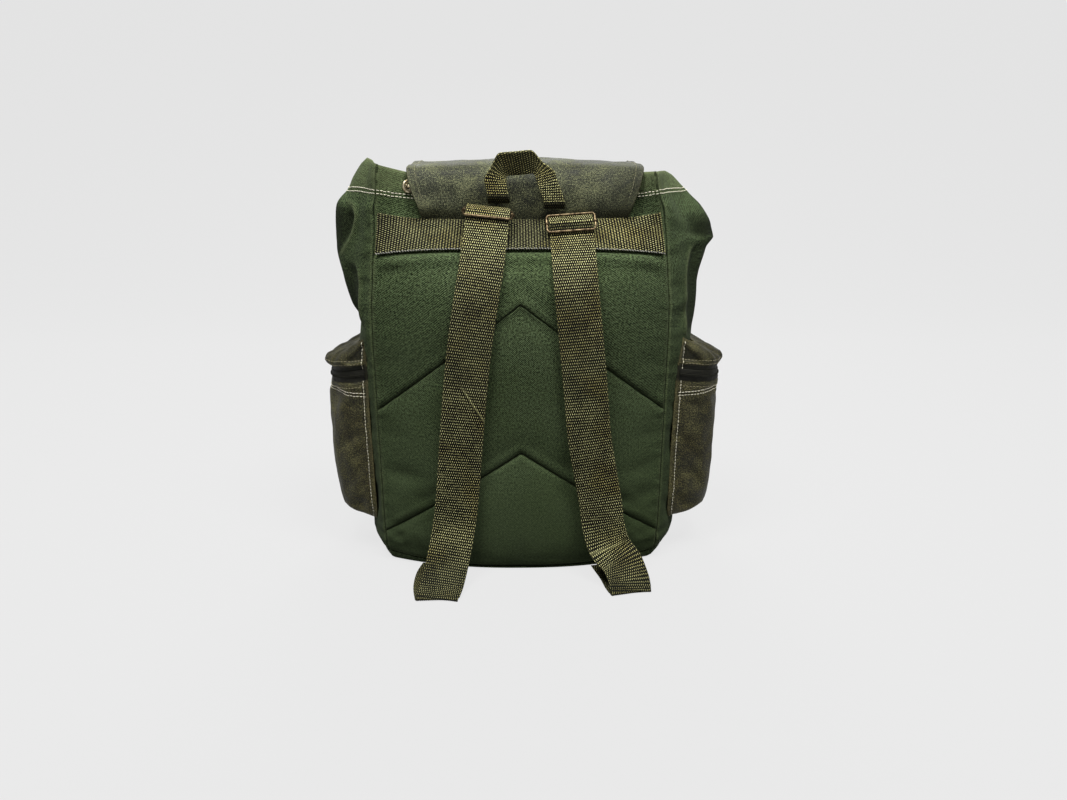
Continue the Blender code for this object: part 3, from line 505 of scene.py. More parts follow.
def makeOxford(spec):
    # Piece-dyed cotton and polyester oxford cloth, plain woven: matt, a fine pale speckle where threads cross.
    material, add = newMaterial("piece-dyed oxford cloth")
    uv, place = add("UVMap", uv_map="weave"), add("TexCoord", out="Object")
    wander = add("TexNoise", {"Vector": uv, "Scale": 260.0, "Detail": 1.0}, "Color")
    jitter = add("VectorMath", {0: wander, 1: (0.0011,) * 3, 2: uv}, operation="MULTIPLY_ADD")
    thread = add("TexNoise", {"Vector": uv, "Scale": 420.0, "Detail": 2.0, "Roughness": 0.7})
    speckle = weighted(add, thread, (lattice(add, jitter, spec), 0.22))
    # The speckle is rubbed flat towards the bag's foot.
    height = add("SeparateXYZ", {0: place}, 2)
    contrast = add("MapRange", {0: height, 1: 0.04, 2: 0.37, 3: 0.35, 4: 1.75})
    centred = add("Math", {0: speckle, 1: -0.5}, operation="ADD")
    mask = add("Math", {0: centred, 1: contrast, 2: 0.5}, operation="MULTIPLY_ADD")
    woven = add("ValToRGB", {"Fac": mask}, stops=((0.28, spec["dark"]), (0.92, spec["light"])))
    patches = add("TexNoise", {"Vector": place, "Scale": 9.0, "Detail": 5.0, "Roughness": 0.62})
    faded = add("MapRange", {0: patches, 1: 0.42, 2: 0.72, 3: 0.0, 4: 0.32})
    # Paler where it is worn, and along the side folds' ridges as a painted highlight.
    rub = add("TexNoise", {"Vector": place, "Scale": 70.0, "Detail": 4.0})
    rubbed = add("Math", {0: add("Attribute", out="Fac", attribute_name="wearAndHighlight"), 1: rub}, operation="MULTIPLY")
    return finished(material, {
        "Base Color": agedAndShaded(add, woven, (faded, spec["fade"], "SOFT_LIGHT"), (rubbed, spec["worn"], "MIX")),
        "Roughness": spec["roughness"], "Sheen Weight": 0.01, "Specular IOR Level": 0.05, "IOR": 1.46,
        "Normal": add("Bump", {"Strength": 0.9, "Distance": spec["relief"], "Height": mask})})


waxedCanvas = {
    "lid": {"dark": "#090A06", "mid": "#26291B", "light": "#6F7152", "worn": "#5C5A3F", "tint": "#544C34"},
    "pocket": {"dark": "#0B0B06", "mid": "#2F2E1D", "light": "#79754D", "worn": "#8A8358", "tint": "#57452A"},
    "across": 0.0022, "along": 0.0022,   # the duck's threads are 0.7 mm apart; drawn coarser
    "relief": 0.00018, "roughness": 0.62,
}


def makeCanvas(name, colours, spec):
    # Cotton duck with wax brushed in: dark and faintly glossy where wax sits, pale and dry where it has cracked.
    material, add = newMaterial(name)
    uv, place = add("UVMap", uv_map="weave"), add("TexCoord", out="Object")
    threads = lattice(add, uv, spec)
    grain = add("TexNoise", {"Vector": uv, "Scale": 640.0, "Detail": 2.0, "Roughness": 0.8})
    blotch = add("TexNoise", {"Vector": place, "Scale": 46.0, "Detail": 6.0, "Roughness": 0.68, "Distortion": 0.6})
    cloud = add("TexNoise", {"Vector": place, "Scale": 13.0, "Detail": 3.0})
    wax = weighted(add, -0.11, (blotch, 0.46), (grain, 1.05), (cloud, 0.18), (threads, 0.07))
    waxed = add("ValToRGB", {"Fac": wax},
                stops=((0.58, colours["dark"]), (0.74, colours["mid"]), (0.93, colours["light"])))
    brown = add("TexNoise", {"Vector": place, "Scale": 24.0, "Detail": 2.0})
    tinted = add("MapRange", {0: brown, 1: 0.48, 2: 0.70, 3: 0.0, 4: 0.45})
    rubbed = add("Math", {0: add("Attribute", out="Fac", attribute_name="wearAndHighlight"), 1: grain}, operation="MULTIPLY")
    rough = spec["roughness"]
    return finished(material, {
        "Base Color": agedAndShaded(add, waxed, (tinted, colours["tint"], "SOFT_LIGHT"), (rubbed, colours["worn"], "MIX")),
        "Roughness": add("MapRange", {0: blotch, 1: 0.3, 2: 0.7, 3: rough - 0.1, 4: rough + 0.18}),
        "Sheen Weight": 0.01, "Specular IOR Level": 0.2, "IOR": 1.45,
        "Normal": add("Bump", {"Strength": 0.8, "Distance": spec["relief"],
                               "Height": weighted(add, grain, (threads, 0.35))})})


strapWeave = {"across": 0.00243, "along": 0.0065, "relief": 0.00022}     # both rows of one repeat, real size
handleWeave = {"across": 0.0021, "along": 0.0057, "relief": 0.00020}
webbingYarn = {"ground": "#070702", "mid": "#2B2B14", "light": "#D2CF92", "brown": "#7A5638", "roughness": 0.82}


def makeWebbing(name, weave, yarn):
    # Heavy cotton webbing: pale floats of the face yarn stand in staggered rows on a dark olive ground.
    material, add = newMaterial(name)
    uv, place = add("UVMap", uv_map="weave"), add("TexCoord", out="Object")
    rows = add("TexWave", {"Vector": uv, "Scale": waveScale(weave["along"] / 2)}, "Fac", bands_direction="Y")
    fibre = add("TexNoise", {"Vector": uv, "Scale": 700.0, "Detail": 2.0, "Roughness": 0.6})
    patch = add("TexNoise", {"Vector": uv, "Scale": 38.0, "Detail": 3.0})
    floats = weighted(add, 0.12, (fibre, 0.45), (lattice(add, uv, weave), 0.40))
    woven = add("ValToRGB", {"Fac": weighted(add, floats, (rows, -0.15), (patch, 0.25))},
                stops=((0.45, yarn["ground"]), (0.60, yarn["mid"]), (0.80, yarn["light"])))
    brown = add("TexNoise", {"Vector": place, "Scale": 21.0, "Detail": 3.0})
    tinted = add("MapRange", {0: brown, 1: 0.46, 2: 0.68, 3: 0.0, 4: 0.65})
    # Paler where it is worn, and along the left strap's crease and the right strap's bend as a painted highlight.
    wearAndHighlight = add("Attribute", out="Fac", attribute_name="wearAndHighlight")
    return finished(material, {
        "Base Color": agedAndShaded(add, woven, (tinted, yarn["brown"], "SOFT_LIGHT"), (wearAndHighlight, yarn["light"], "MIX")),
        "Roughness": yarn["roughness"], "Sheen Weight": 0.01, "Specular IOR Level": 0.1, "IOR": 1.50,
        "Normal": add("Bump", {"Strength": 0.8, "Distance": 0.00025, "Height": floats})})


def makeMetal(name, bright, dull, roughness):
    # Brass wire, drawn and then antiqued: bright where hands rub it, brown where the patina stays.
    material, add = newMaterial(name)
    patina = add("TexNoise", {"Vector": add("TexCoord", out="Object"), "Scale": 240.0, "Detail": 5.0,
                              "Roughness": 0.65})
    return finished(material, {
        "Base Color": add("ValToRGB", {"Fac": patina}, stops=((0.36, dull), (0.60, bright))), "Metallic": 1.0,
        "Roughness": add("MapRange", {0: patina, 1: 0.3, 2: 0.7, 3: roughness + 0.18, 4: roughness - 0.06}),
        "Normal": add("Bump", {"Strength": 0.35, "Distance": 0.0001, "Height": patina})})


def makeRibbed(name, ribs, hair, share, stops, bump, sockets):
    # A wave gives the ribs or plies, and fine noise the hair on them.
    material, add = newMaterial(name)
    uv = add("UVMap", uv_map="weave")
    wave = add("TexWave", {"Vector": uv, "Scale": ribs[0]}, "Fac", bands_direction=ribs[1])
    fibre = add("TexNoise", {"Vector": uv, "Scale": hair, "Detail": 2.0})
    both = weighted(add, fibre, (wave, share))
    return finished(material, {
        "Base Color": add("ValToRGB", {"Fac": both}, stops=stops), **sockets,
        "Normal": add("Bump", {"Strength": bump[0], "Distance": bump[1], "Height": both})})


def makeThread(name, dark, light, pitch):
    # Twisted thread or cord: pale plies with a dark line where they meet.
    return makeRibbed(name, (math.sqrt(2) * waveScale(pitch), "DIAGONAL"), 900.0, 0.6, ((0.35, dark), (0.9, light)),
                      (0.6, 0.0002), {"Roughness": 0.78, "Sheen Weight": 0.2})


def makeTape(name, dark, light, pitch):
    # Woven polyester zip tape with a nylon coil: near black, ribbed along its length.
    return makeRibbed(name, (waveScale(pitch), "Y"), 500.0, 0.5, ((0.5, dark), (1.0, light)),
                      (0.7, 0.0003), {"Roughness": 0.7, "Specular IOR Level": 0.15})


oxford = makeOxford(oxfordCloth)
lidCanvas = makeCanvas("waxed cotton duck of the lid", waxedCanvas["lid"], waxedCanvas)
pocketCanvas = makeCanvas("waxed cotton duck of the pockets", waxedCanvas["pocket"], waxedCanvas)
strapWebbing = makeWebbing("strap webbing", strapWeave, webbingYarn)
handleWebbing = makeWebbing("handle webbing", handleWeave, webbingYarn)
wireBrass = makeMetal("antiqued brass wire", "#6F6149", "#2A2219", 0.42)
eyeletBrass = makeMetal("pressed brass", "#D6CBAE", "#8A7C5E", 0.32)
creamThread = makeThread("cream polyester thread", "#A8A283", "#EFE9D2", 0.0009)
tanThread = makeThread("tan thread", "#5E573C", "#A39A74", 0.0009)
oliveThread = makeThread("olive thread", "#2E2E1C", "#6A6845", 0.0008)
creamCord = makeThread("cream cotton cord", "#8C7F60", "#DCCFA8", 0.0020)
edgeThread = makeThread("grey edge thread", "#2E2E27", "#96958A", 0.0012)
zipTape = makeTape("black polyester zip tape", "#070705", "#1E1E16", 0.0016)
print("materials made")


# The bag's walls.

wall = {
    "step": 0.0032, "frontStep": 0.0042, "cloth": 0.0020, "hemCloth": 0.0030, "padding": 0.0060,
    "backHalf": 0.180, "frontHalf": 0.176, "sideHalf": 0.095,       # half lengths along the panels' rows
    "seamDepth": 0.0024, "seamWidth": 0.0012, "seamReach": 0.006,   # how the cloth turns in at a seam
    "hemShallow": 0.94,                                             # the hem's layers don't turn in as far
    "puckerDepth": 0.00045, "puckerLength": 0.016, "puckerReach": 0.012,
    "wrinkle": 0.0009, "wrinkleSize": 0.075,
    "seamWear": 0.16, "edgeWear": 0.40, "hemWear": 0.27, "hemSeamPaler": 0.45,
    "stitchSpacing": 0.0036,
}
corners = {"backLeft": (1, 1, 0), "backRight": (-1, 1, 0), "frontLeft": (1, -1, 0), "frontRight": (-1, -1, 0)}


def seamed(grid, left, right, seed):
    # Turns both side edges and the foot inwards, with small puckers along the seams.
    normals = gridNormals(grid)
    toSides = edgeDistance(grid, "l"), edgeDistance(grid, "r")
    along = lengths(grid)
    inward = -normals
    for distance, corner in zip(toSides, (left, right)):
        share = fade(distance, wall["seamReach"], -wall["seamReach"])[..., None]
        inward = inward * (1 - share) + unit(np.array(corners[corner], float)) * share
    inward = unit(inward)
    near = np.minimum(np.minimum(*toSides), along)
    shallow = 1 - wall["hemShallow"] * fade(grid[..., 2], 0.415, 0.015)
    turned = grid + inward * (wall["seamDepth"] * shallow * bell(near, wall["seamWidth"]))[..., None]
    waves = np.sin(tau * along / wall["puckerLength"] + 3 * noiseField(grid, 0.05, seed))
    pucker = wall["puckerDepth"] * waves * np.exp(-near / wall["puckerReach"]) * (1 - bell(near, 0.002))
    wrinkles = wall["wrinkle"] * noiseField(grid * np.array((1, 1, 0.6)), wall["wrinkleSize"], seed + 4)
    return turned + normals * (pucker + wrinkles * fade(near, 0, 0.03))[..., None], inward


# Dust and painted shade along the side seams and the foot, less of it in the hem.
def seamDustAndShade(grid):
    return bell(edgeDistance(grid, "lrb"), 0.0012) * (1 - wall["hemSeamPaler"] * fade(grid[..., 2], 0.430, 0.010))


def sewnPanel(name, node, grid, inward, hemRow, dustAndShade, worn=0, foam=0):
    # A wall of the bag, thicker in its hem. Its seams and hem are worn pale, the side folds' ridges are painted
    # pale as a highlight, and dust and painted shade darken it.
    thickness = np.where(np.arange(len(grid))[:, None] >= hemRow, wall["hemCloth"], wall["cloth"] + foam)
    wearAndHighlight = (wall["seamWear"] * bell(edgeDistance(grid, "lrb") - 0.0030, 0.0016)
            + wall["edgeWear"] * bell(edgeDistance(grid, "t"), 0.0022)
            + wall["hemWear"] * fade(grid[..., 2], 0.440, 0.012) + worn)
    panel = shell(name, grid, thickness, oxford, inward, {"wearAndHighlight": wearAndHighlight, "dustAndShade": dustAndShade}, rounded="t")
    return ridesAs(panel, "green_oxford", node)


def hemLine(grid, startRow, distance):
    # A line across the grid at a distance above a row, and the outward normals there.
    along = np.mean(lengths(grid), axis=1)
    place = [float(np.interp(along[startRow] + distance, along, np.arange(len(along))))]
    line, normals = [between(values, place)[0][1:-1] for values in (grid, gridNormals(grid))]
    return line, unit(normals)


breaks = [0, bandFoot, bandTop, hemFoot, hemEdge]       # rows of the sections that the grids keep
print("walls:")

# The back panel: foam behind the cloth, quilted along two chevrons.
padSpec = {
    "slopes": (0.655, 0.754),       # fall of the two chevrons' arms for each metre across
    "quiltDepth": 0.0017, "quiltWidth": 0.0010, "quiltShade": 0.62, "padRise": 0.0012, "padReach": 0.012,
    "lowerPad": 0.45,               # share of the rise that the pad below a line has
    "bandGroove": 0.0034, "bandBulge": 0.0030,
    "grime": 0.26, "shadeHeight": 0.258, "shadeReach": 0.085,       # painted shade across the middle of the panel
    "cloth": {"pressure": 2.6, "slack": 0.010, "cap": 0.005},
}
backSmooth, backRows = panelGrid(backSurface, [0, quiltLow, quiltHigh] + breaks[1:], wall["step"], wall["backHalf"],
                                 sharp=(quiltLow, quiltHigh))
bandRow, backHemRow = backRows[3], backRows[5]


def quiltDistance(grid):
    # Signed distance to the nearest quilting line, which is a row of the grid.
    distances = np.array([(grid[..., 2] - grid[row, :, 2]) / math.hypot(1, slope)
                          for row, slope in zip(backRows[1:3], padSpec["slopes"])])
    nearest = np.argmin(np.abs(distances), axis=0)
    return np.take_along_axis(distances, nearest[None], axis=0)[0]


quilt = quiltDistance(backSmooth)
toSides = edgeDistance(backSmooth, "lr")
held = np.maximum(bell(quilt, 0.004), bell(edgeDistance(backSmooth, "lrb"), 0.004))
held[bandRow - 2:] = 1
backGrid = settleCloth(backSmooth, held, padSpec["cloth"])
backGrid, backInward = seamed(backGrid, "backLeft", "backRight", 1.3)
# Each quilting line is a narrow valley between two pads, and the pad above hangs a little over the one below.
reach = padSpec["padReach"]
raised = padSpec["padRise"] * (np.abs(quilt) < reach) * np.sin(math.pi * np.clip(np.abs(quilt) / reach, 0, 1))
raised = raised * np.where(quilt > 0, 1.0, padSpec["lowerPad"])
valley = padSpec["quiltDepth"] * bell(quilt, padSpec["quiltWidth"]) - raised
valley = valley * fade(toSides, 0, 0.008)
# Under the band's foot the cloth is sewn down, and the pad swells out just below.
belowBand = lengths(backSmooth)[bandRow] - lengths(backSmooth)
valley += padSpec["bandGroove"] * bell(belowBand - 0.0005, 0.0028) * fade(toSides, 0, 0.004)
valley -= padSpec["bandBulge"] * bell(belowBand - 0.011, 0.0065) * fade(toSides, 0, 0.030)
backGrid = backGrid - gridNormals(backSmooth) * valley[..., None]
foam = (wall["padding"] - wall["cloth"]) * fade(edgeDistance(backSmooth, "lrb"), 0, 0.02)
# Painted shade across the middle of the panel and in the quilting lines, and dust and painted shade at the seams.
grime = padSpec["grime"] * bell(backSmooth[..., 2] - padSpec["shadeHeight"], padSpec["shadeReach"])
backDustAndShade = np.maximum.reduce([padSpec["quiltShade"] * bell(quilt, 0.0009), seamDustAndShade(backGrid), grime])
backPanel = sewnPanel("backPanel", "back_panel", backGrid, backInward, backHemRow, backDustAndShade, foam=foam)
hemSources = [(backGrid, backHemRow)]
print("  back panel")

# The side panels: gussets that fold outwards into an ear at the top.
# Each fold has a ridge and, towards the front of the bag, a hollow behind it. "ridge" is its line, as heights and
# places along the panel; "soft" and "reach" are the width of the slope and of the hollow in the same places.
# "dark" is the share of painted shade in the hollow, and the ridge is painted pale as a highlight.
sideFolds = {
    -1: ({"heights": (0.362, 0.366, 0.375, 0.386, 0.394, 0.407, 0.416, 0.425, 0.432, 0.438),
          "ridge": (0.10, -0.10, -0.24, -0.34, -0.39, -0.45, -0.48, -0.43, -0.30, -0.05),
          "fade": 0.010, "soft": 0.10, "reach": 0.60, "rise": 0.0024, "depth": 0.0065, "dark": 0.80},
         {"heights": (0.282, 0.296, 0.315, 0.330, 0.350, 0.358, 0.364),
          "ridge": (-0.62, -0.70, -0.73, -0.74, -0.72, -0.62, -0.40),
          "fade": 0.014, "soft": 0.09, "reach": 0.90, "rise": 0.0024, "depth": 0.0050, "dark": 0.70}),
    1: ({"heights": (0.270, 0.290, 0.320, 0.345, 0.362, 0.376, 0.387),
         "ridge": (-0.62, -0.64, -0.64, -0.64, -0.58, -0.49, -0.38),
         "fade": 0.014, "soft": 0.14, "reach": 0.90, "rise": 0.0016, "depth": 0.0034, "dark": 0.62},
        {"heights": (0.384, 0.396, 0.410, 0.426),
         "ridge": (-0.40, -0.58, -0.56, -0.40),
         "fade": 0.010, "soft": 0.30, "reach": 0.60, "rise": 0.0, "depth": 0.0050, "dark": 0.85}),
}
sideSpec = {"cloth": {"pressure": 0.6, "slack": 0.018, "cap": 0.003}, "ridgeHighlight": 0.30,
            "seams": {-1: ("frontLeft", "backLeft"), 1: ("backRight", "frontRight")}}
for side, label in ((-1, "left"), (1, "right")):
    smooth, rows = panelGrid(lambda rows, places: sideSurface(rows, places * side, side), breaks, wall["step"],
                             wall["sideHalf"])
    heights = smooth[..., 2]
    depthY = smooth[..., 1] - smooth[..., 1].min(axis=1, keepdims=True)
    places = 2 * depthY / depthY.max(axis=1, keepdims=True) - 1      # -1 at the back seam, 1 at the front seam
    grid = settleCloth(smooth, bell(edgeDistance(smooth), 0.006), sideSpec["cloth"])
    grid, inward = seamed(grid, *sideSpec["seams"][side], 5.1 + side)
    depth, dustAndShade, worn = np.zeros(places.shape), seamDustAndShade(grid), np.zeros(places.shape)
    for fold in sideFolds[side]:
        ridge = np.interp(heights, fold["heights"], fold["ridge"])
        behind = places - ridge
        foot, top = fold["heights"][0], fold["heights"][-1]
        window = fade(heights, foot, fold["fade"]) * fade(heights, top, -fold["fade"])
        shade = window * fade(heights, top + 0.004, -3 * fold["fade"]) ** 0.7
        slope = fade(behind, 0, fold["soft"] * (1 + 3 * fade(heights, 0.412, 0.018)))
        keepsOutline = 1 - fade(places, -0.44, 0.26)
        depth += (window * fade(ridge, -0.10, -0.30) * keepsOutline
                  * (fold["depth"] * slope - fold["rise"] * bell(behind + 0.02, 0.05)))
        # Painted shade in the hollow behind the ridge, and a painted highlight along the ridge.
        dustAndShade = np.maximum(dustAndShade, fold["dark"] * shade * slope * (1 - 0.7 * fade(behind, fold["reach"], 0.5)))
        if fold["rise"]:
            worn = np.maximum(worn, sideSpec["ridgeHighlight"] * window * bell(behind + 0.015, 0.035))
    depth *= fade(edgeDistance(smooth, "lr"), 0, 0.012)
    grid = grid - gridNormals(smooth) * depth[..., None]
    panel = sewnPanel("sidePanel_" + label, "side_panel_" + label, grid, inward, rows[3], dustAndShade, worn)
    hemSources.append((grid, rows[3]))
    print("  side panel", label)

# The front panel, plain.
frontCloth = {"pressure": 0.9, "slack": 0.014, "cap": 0.007}
frontSmooth, frontRows = panelGrid(lambda rows, places: frontSurface(rows, -places), breaks, wall["frontStep"],
                                   wall["frontHalf"])
frontGrid = settleCloth(frontSmooth, bell(edgeDistance(frontSmooth), 0.005), frontCloth)
frontGrid, frontInward = seamed(frontGrid, "frontRight", "frontLeft", 9.7)
frontPanel = sewnPanel("frontPanel", "front_panel", frontGrid, frontInward, frontRows[3], seamDustAndShade(frontGrid))
hemSources.append((frontGrid, frontRows[3]))
print("  front panel")

# The base: a shallow dish under the four walls' feet. Its rings, from the walls inwards: size, share of the
# feet's height.
baseRings = np.array(((0.996, 1.05), (0.992, 0.62), (0.980, 0.32), (0.960, 0.10), (0.930, 0.0), (0.6, 0.0),
                      (0.3, 0.0)))
baseSpec = {"points": 321, "sink": 0.0003, "rimInset": 0.985}
sideFeet = [sideSurface(np.array([0.0]), np.linspace(-side, side, 60), side)[0][:-1] for side in (1, -1)]
footLoop = np.concatenate([backSmooth[0][:-1], sideFeet[0], frontSmooth[0][:-1], sideFeet[1]])
footLoop = resample(np.concatenate([footLoop, footLoop[:1]]), baseSpec["points"])[:-1]
baseSkins, baseFaces = [], []
for lift in (0.0, wall["cloth"]):
    rings = footLoop * baseRings[:, None, (0, 0, 1)]
    rings[..., 2] = np.maximum(rings[..., 2] - baseSpec["sink"], 0) + lift * (baseRings[:, 1:] < 1)
    numbers = numbered(*rings.shape[:2], start=len(baseSkins) * rings.shape[0] * rings.shape[1])
    baseFaces += gridFaces(numbers, around=True) + [tuple(numbers[-1].tolist())]
    baseSkins.append(rings)
baseSkins[1][0] *= np.array((baseSpec["rimInset"], baseSpec["rimInset"], 1))
baseFaces += gridFaces(np.stack([numbers[0] - numbers[0, 0], numbers[0]]), around=True)
basePoints = np.concatenate(baseSkins).reshape(-1, 3)
basePanel = newObject("basePanel", basePoints, baseFaces, oxford, basePoints[:, :2],
                      {"wearAndHighlight": np.zeros(len(basePoints))})
ridesAs(basePanel, "green_oxford", "base_panel")
print("  base")

# Two rows of cream stitches hold the hem of the mouth, all round.
hemStitch = {"pitch": 0.0048, "length": 0.0034, "radius": 0.00048}
hemParts = []
for number, (grid, hemRow) in enumerate(hemSources, 1):
    for shift in (0.0, wall["stitchSpacing"]):
        hemParts += stitchRow(*hemLine(grid, hemRow, shift), hemStitch, number * 10 + int(shift * 1000))
ridesAs(joined("hemStitches", hemParts, creamThread), "cream_cord")
print("  hem stitches")


# Webbing.

webbing = {"thickness": 0.0014, "edgeDrop": 0.0006, "selvedge": 0.00025, "edgeWear": 0.08, "rearColumns": 5,
           "along": 0.00080, "across": 0.00061}      # the last two are the steps of its grids


def wovenStrip(name, base, normals, weave, material, relief=None, wearAndHighlight=0, plain=None, dustAndShade=0):
    # Flat webbing on a fine grid: rows run along it, columns across. Its face has the yarns' real relief.
    rows, columns = base.shape[:2]
    plain = base if plain is None else plain
    across = np.broadcast_to(np.mean(widths(plain), axis=0), (rows, columns))
    across = across - across[:, -1:] / 2
    along = np.broadcast_to(np.mean(lengths(plain), axis=1)[:, None], across.shape)
    edge = across[:, -1:] - np.abs(across)
    floats = np.cos(tau * across / weave["across"]) * np.cos(tau * along / weave["along"])
    height = weave["relief"] * (0.8 * floats + 0.4 * np.cos(2 * tau * along / weave["along"]))
    height = height * fade(edge, 0, 0.001) - webbing["edgeDrop"] * bell(edge, 0.0007)
    height = height + webbing["selvedge"] * bell(edge - 0.0016, 0.0010)
    relief = np.zeros(across.shape) if relief is None else relief
    half = webbing["thickness"] / 2
    face = base + normals * (half + (height + relief))[..., None]
    picks = np.unique(np.round(np.linspace(0, columns - 1, webbing["rearColumns"])).astype(int))
    inset = half - relief[:, picks] - 0.0002 * np.isin(picks, (0, columns - 1))
    rear = base[:, picks] - normals[:, picks] * inset[..., None]
    faceNumbers, rearNumbers = numbered(rows, columns), numbered(rows, len(picks), rows * columns)
    faces = gridFaces(faceNumbers) + gridFaces(rearNumbers)
    for side in (0, -1):
        faces += gridFaces(np.stack([faceNumbers[:, side], rearNumbers[:, side]]))
    faces += [tuple(faceNumbers[end].tolist() + rearNumbers[end][::-1].tolist()) for end in (0, -1)]
    uv = np.stack([across, along], axis=-1)
    marks = {"wearAndHighlight": webbing["edgeWear"] * bell(edge, 0.0009) + wearAndHighlight, "dustAndShade": np.broadcast_to(dustAndShade, across.shape)}
    return newObject(name, np.concatenate([face.reshape(-1, 3), rear.reshape(-1, 3)]), faces, material,
                     np.concatenate([uv.reshape(-1, 2), uv[:, picks].reshape(-1, 2)]),
                     {mark: np.concatenate([values.ravel(), values[:, picks].ravel()])
                      for mark, values in marks.items()})


# The band across the back panel, which also covers the lid's sewn edge.
bandSpec = {"half": 0.975, "length": 0.345, "width": 0.051, "seat": 0.0003, "waver": 0.0005,
            "lidFrom": -0.119, "lidTo": 0.130, "lidLift": 0.0023, "lidOverlap": 0.016,
            "grime": 0.47, "shadeFadesFrom": 0.060, "shadeFadeShare": 0.75, "centreShade": 0.22,
            "rowOut": 0.0011, "rowDown": 0.0004,      # where the row of edge stitches lies on the lower edge
            "edgeRow": {"pitch": 0.0031, "length": 0.0019, "radius": 0.00062, "slant": 0.0012}}
bandPlaces = np.linspace(-bandSpec["half"], bandSpec["half"], round(bandSpec["length"] / webbing["along"]))
bandPlain = resample(backSurface(np.linspace(bandFoot, bandTop, 40), bandPlaces),
                     round(bandSpec["width"] / webbing["across"]))
bandNormals = gridNormals(bandPlain)
bandX, bandAlong = bandPlain[..., 0], lengths(bandPlain)
overLid = fade(bandX, bandSpec["lidFrom"], 0.006) * fade(bandX, bandSpec["lidTo"], -0.006)
bandLift = bandSpec["lidLift"] * overLid * fade(bandAlong - bandAlong[-1], -bandSpec["lidOverlap"], 0.010)
bandLift = bandLift + bandSpec["waver"] * (1 + noiseField(bandPlain, 0.045, 2.2))
# Painted shade of the lid and the handle: the band is darker on its left and in the middle, and lighter towards its
# right.
bandShade = (bandSpec["grime"] * (1 - bandSpec["shadeFadeShare"] * fade(bandX, bandSpec["shadeFadesFrom"], 0.06))
            + bandSpec["centreShade"] * bell(bandX - 0.010, 0.035))
bandBase = bandPlain + bandNormals * (webbing["thickness"] / 2 + bandSpec["seat"] + bandLift)[..., None]
bandGrids = [np.swapaxes(grid, 0, 1) for grid in (bandBase, bandNormals, bandPlain, bandShade)]
band = wovenStrip("webbingBand", *bandGrids[:2], strapWeave, strapWebbing, plain=bandGrids[2], dustAndShade=bandGrids[3])
ridesAs(band, "olive_webbing", "webbing_band")
lowEdge = bandBase[1] + bandNormals[1] * bandSpec["rowOut"] - np.array((0, 0, bandSpec["rowDown"]))
ridesAs(joined("bandEdge", stitchRow(lowEdge, bandNormals[1], bandSpec["edgeRow"], 31), edgeThread), "cream_cord")
print("band")

# The shoulder straps: place of the webbing's middle line and its roll in degrees.
strapRoutes = {
    "left": (
        (-0.0364, -0.0600, 0.4160, -6), (-0.0362, -0.0606, 0.4235, -6), (-0.0361, -0.0640, 0.4284, -6),
        (-0.0363, -0.0735, 0.4262, -6), (-0.0369, -0.0792, 0.4214, -6), (-0.0374, -0.0812, 0.4163, -6),
        (-0.0382, -0.0845, 0.4085, -6), (-0.0392, -0.0905, 0.3985, -5), (-0.0410, -0.1000, 0.3860, -4),
        (-0.0440, -0.1125, 0.3620, -2), (-0.0494, -0.1230, 0.3310, 0), (-0.0580, -0.1300, 0.2730, 0),
        (-0.0640, -0.1325, 0.2200, 0), (-0.0685, -0.1330, 0.1700, 0), (-0.0750, -0.1330, 0.0960, 0),
        (-0.0802, -0.1380, 0.0580, 0), (-0.0863, -0.1520, 0.0280, 0), (-0.0915, -0.1720, 0.0100, 0),
        (-0.0945, -0.1885, 0.0052, 0), (-0.0952, -0.1945, 0.0036, 0), (-0.0956, -0.1935, 0.0014, 0),
        (-0.0965, -0.1870, 0.0009, 0), (-0.1010, -0.1600, 0.0009, 0), (-0.1012, -0.1280, 0.0009, 0),
        (-0.0965, -0.1010, 0.0009, 0),
    ),
    "right": (
        (0.0571, -0.0590, 0.4176, 4), (0.0570, -0.0632, 0.4188, 4), (0.0570, -0.0689, 0.4187, 4),
        (0.0572, -0.0743, 0.4160, 4), (0.0574, -0.0796, 0.4132, 4), (0.0578, -0.0808, 0.4074, 4),
        (0.0582, -0.0819, 0.4015, 4), (0.0587, -0.0850, 0.3950, 4), (0.0593, -0.0935, 0.3860, 3),
        (0.0600, -0.1040, 0.3740, 2), (0.0611, -0.1140, 0.3580, 1), (0.0633, -0.1230, 0.3310, 0),
        (0.0700, -0.1300, 0.2630, 0), (0.0745, -0.1325, 0.2150, 0), (0.0790, -0.1330, 0.1690, 0),
        (0.0920, -0.1330, 0.0960, 0), (0.0960, -0.1350, 0.0660, 0), (0.1035, -0.1415, 0.0420, 0),
        (0.1165, -0.1530, 0.0280, 0), (0.1234, -0.1665, 0.0145, 0), (0.1250, -0.1760, 0.0058, 0),
        (0.1254, -0.1802, 0.0034, 0), (0.1252, -0.1795, 0.0012, 0), (0.1246, -0.1740, 0.0008, 0),
        (0.1213, -0.1600, 0.0008, 0), (0.1175, -0.1371, 0.0008, 0), (0.1090, -0.1015, 0.0008, 0),
    ),
}
strapSpec = {
    "width": 0.050, "waver": 0.0009, "hollow": 0.0012, "foldDraw": 0.07, "grime": 0.20, "midShade": 0.26,
    "floorShade": 0.28, "most": 0.68, "foldEdgeShade": 0.10, "pastFold": 0.80,
}


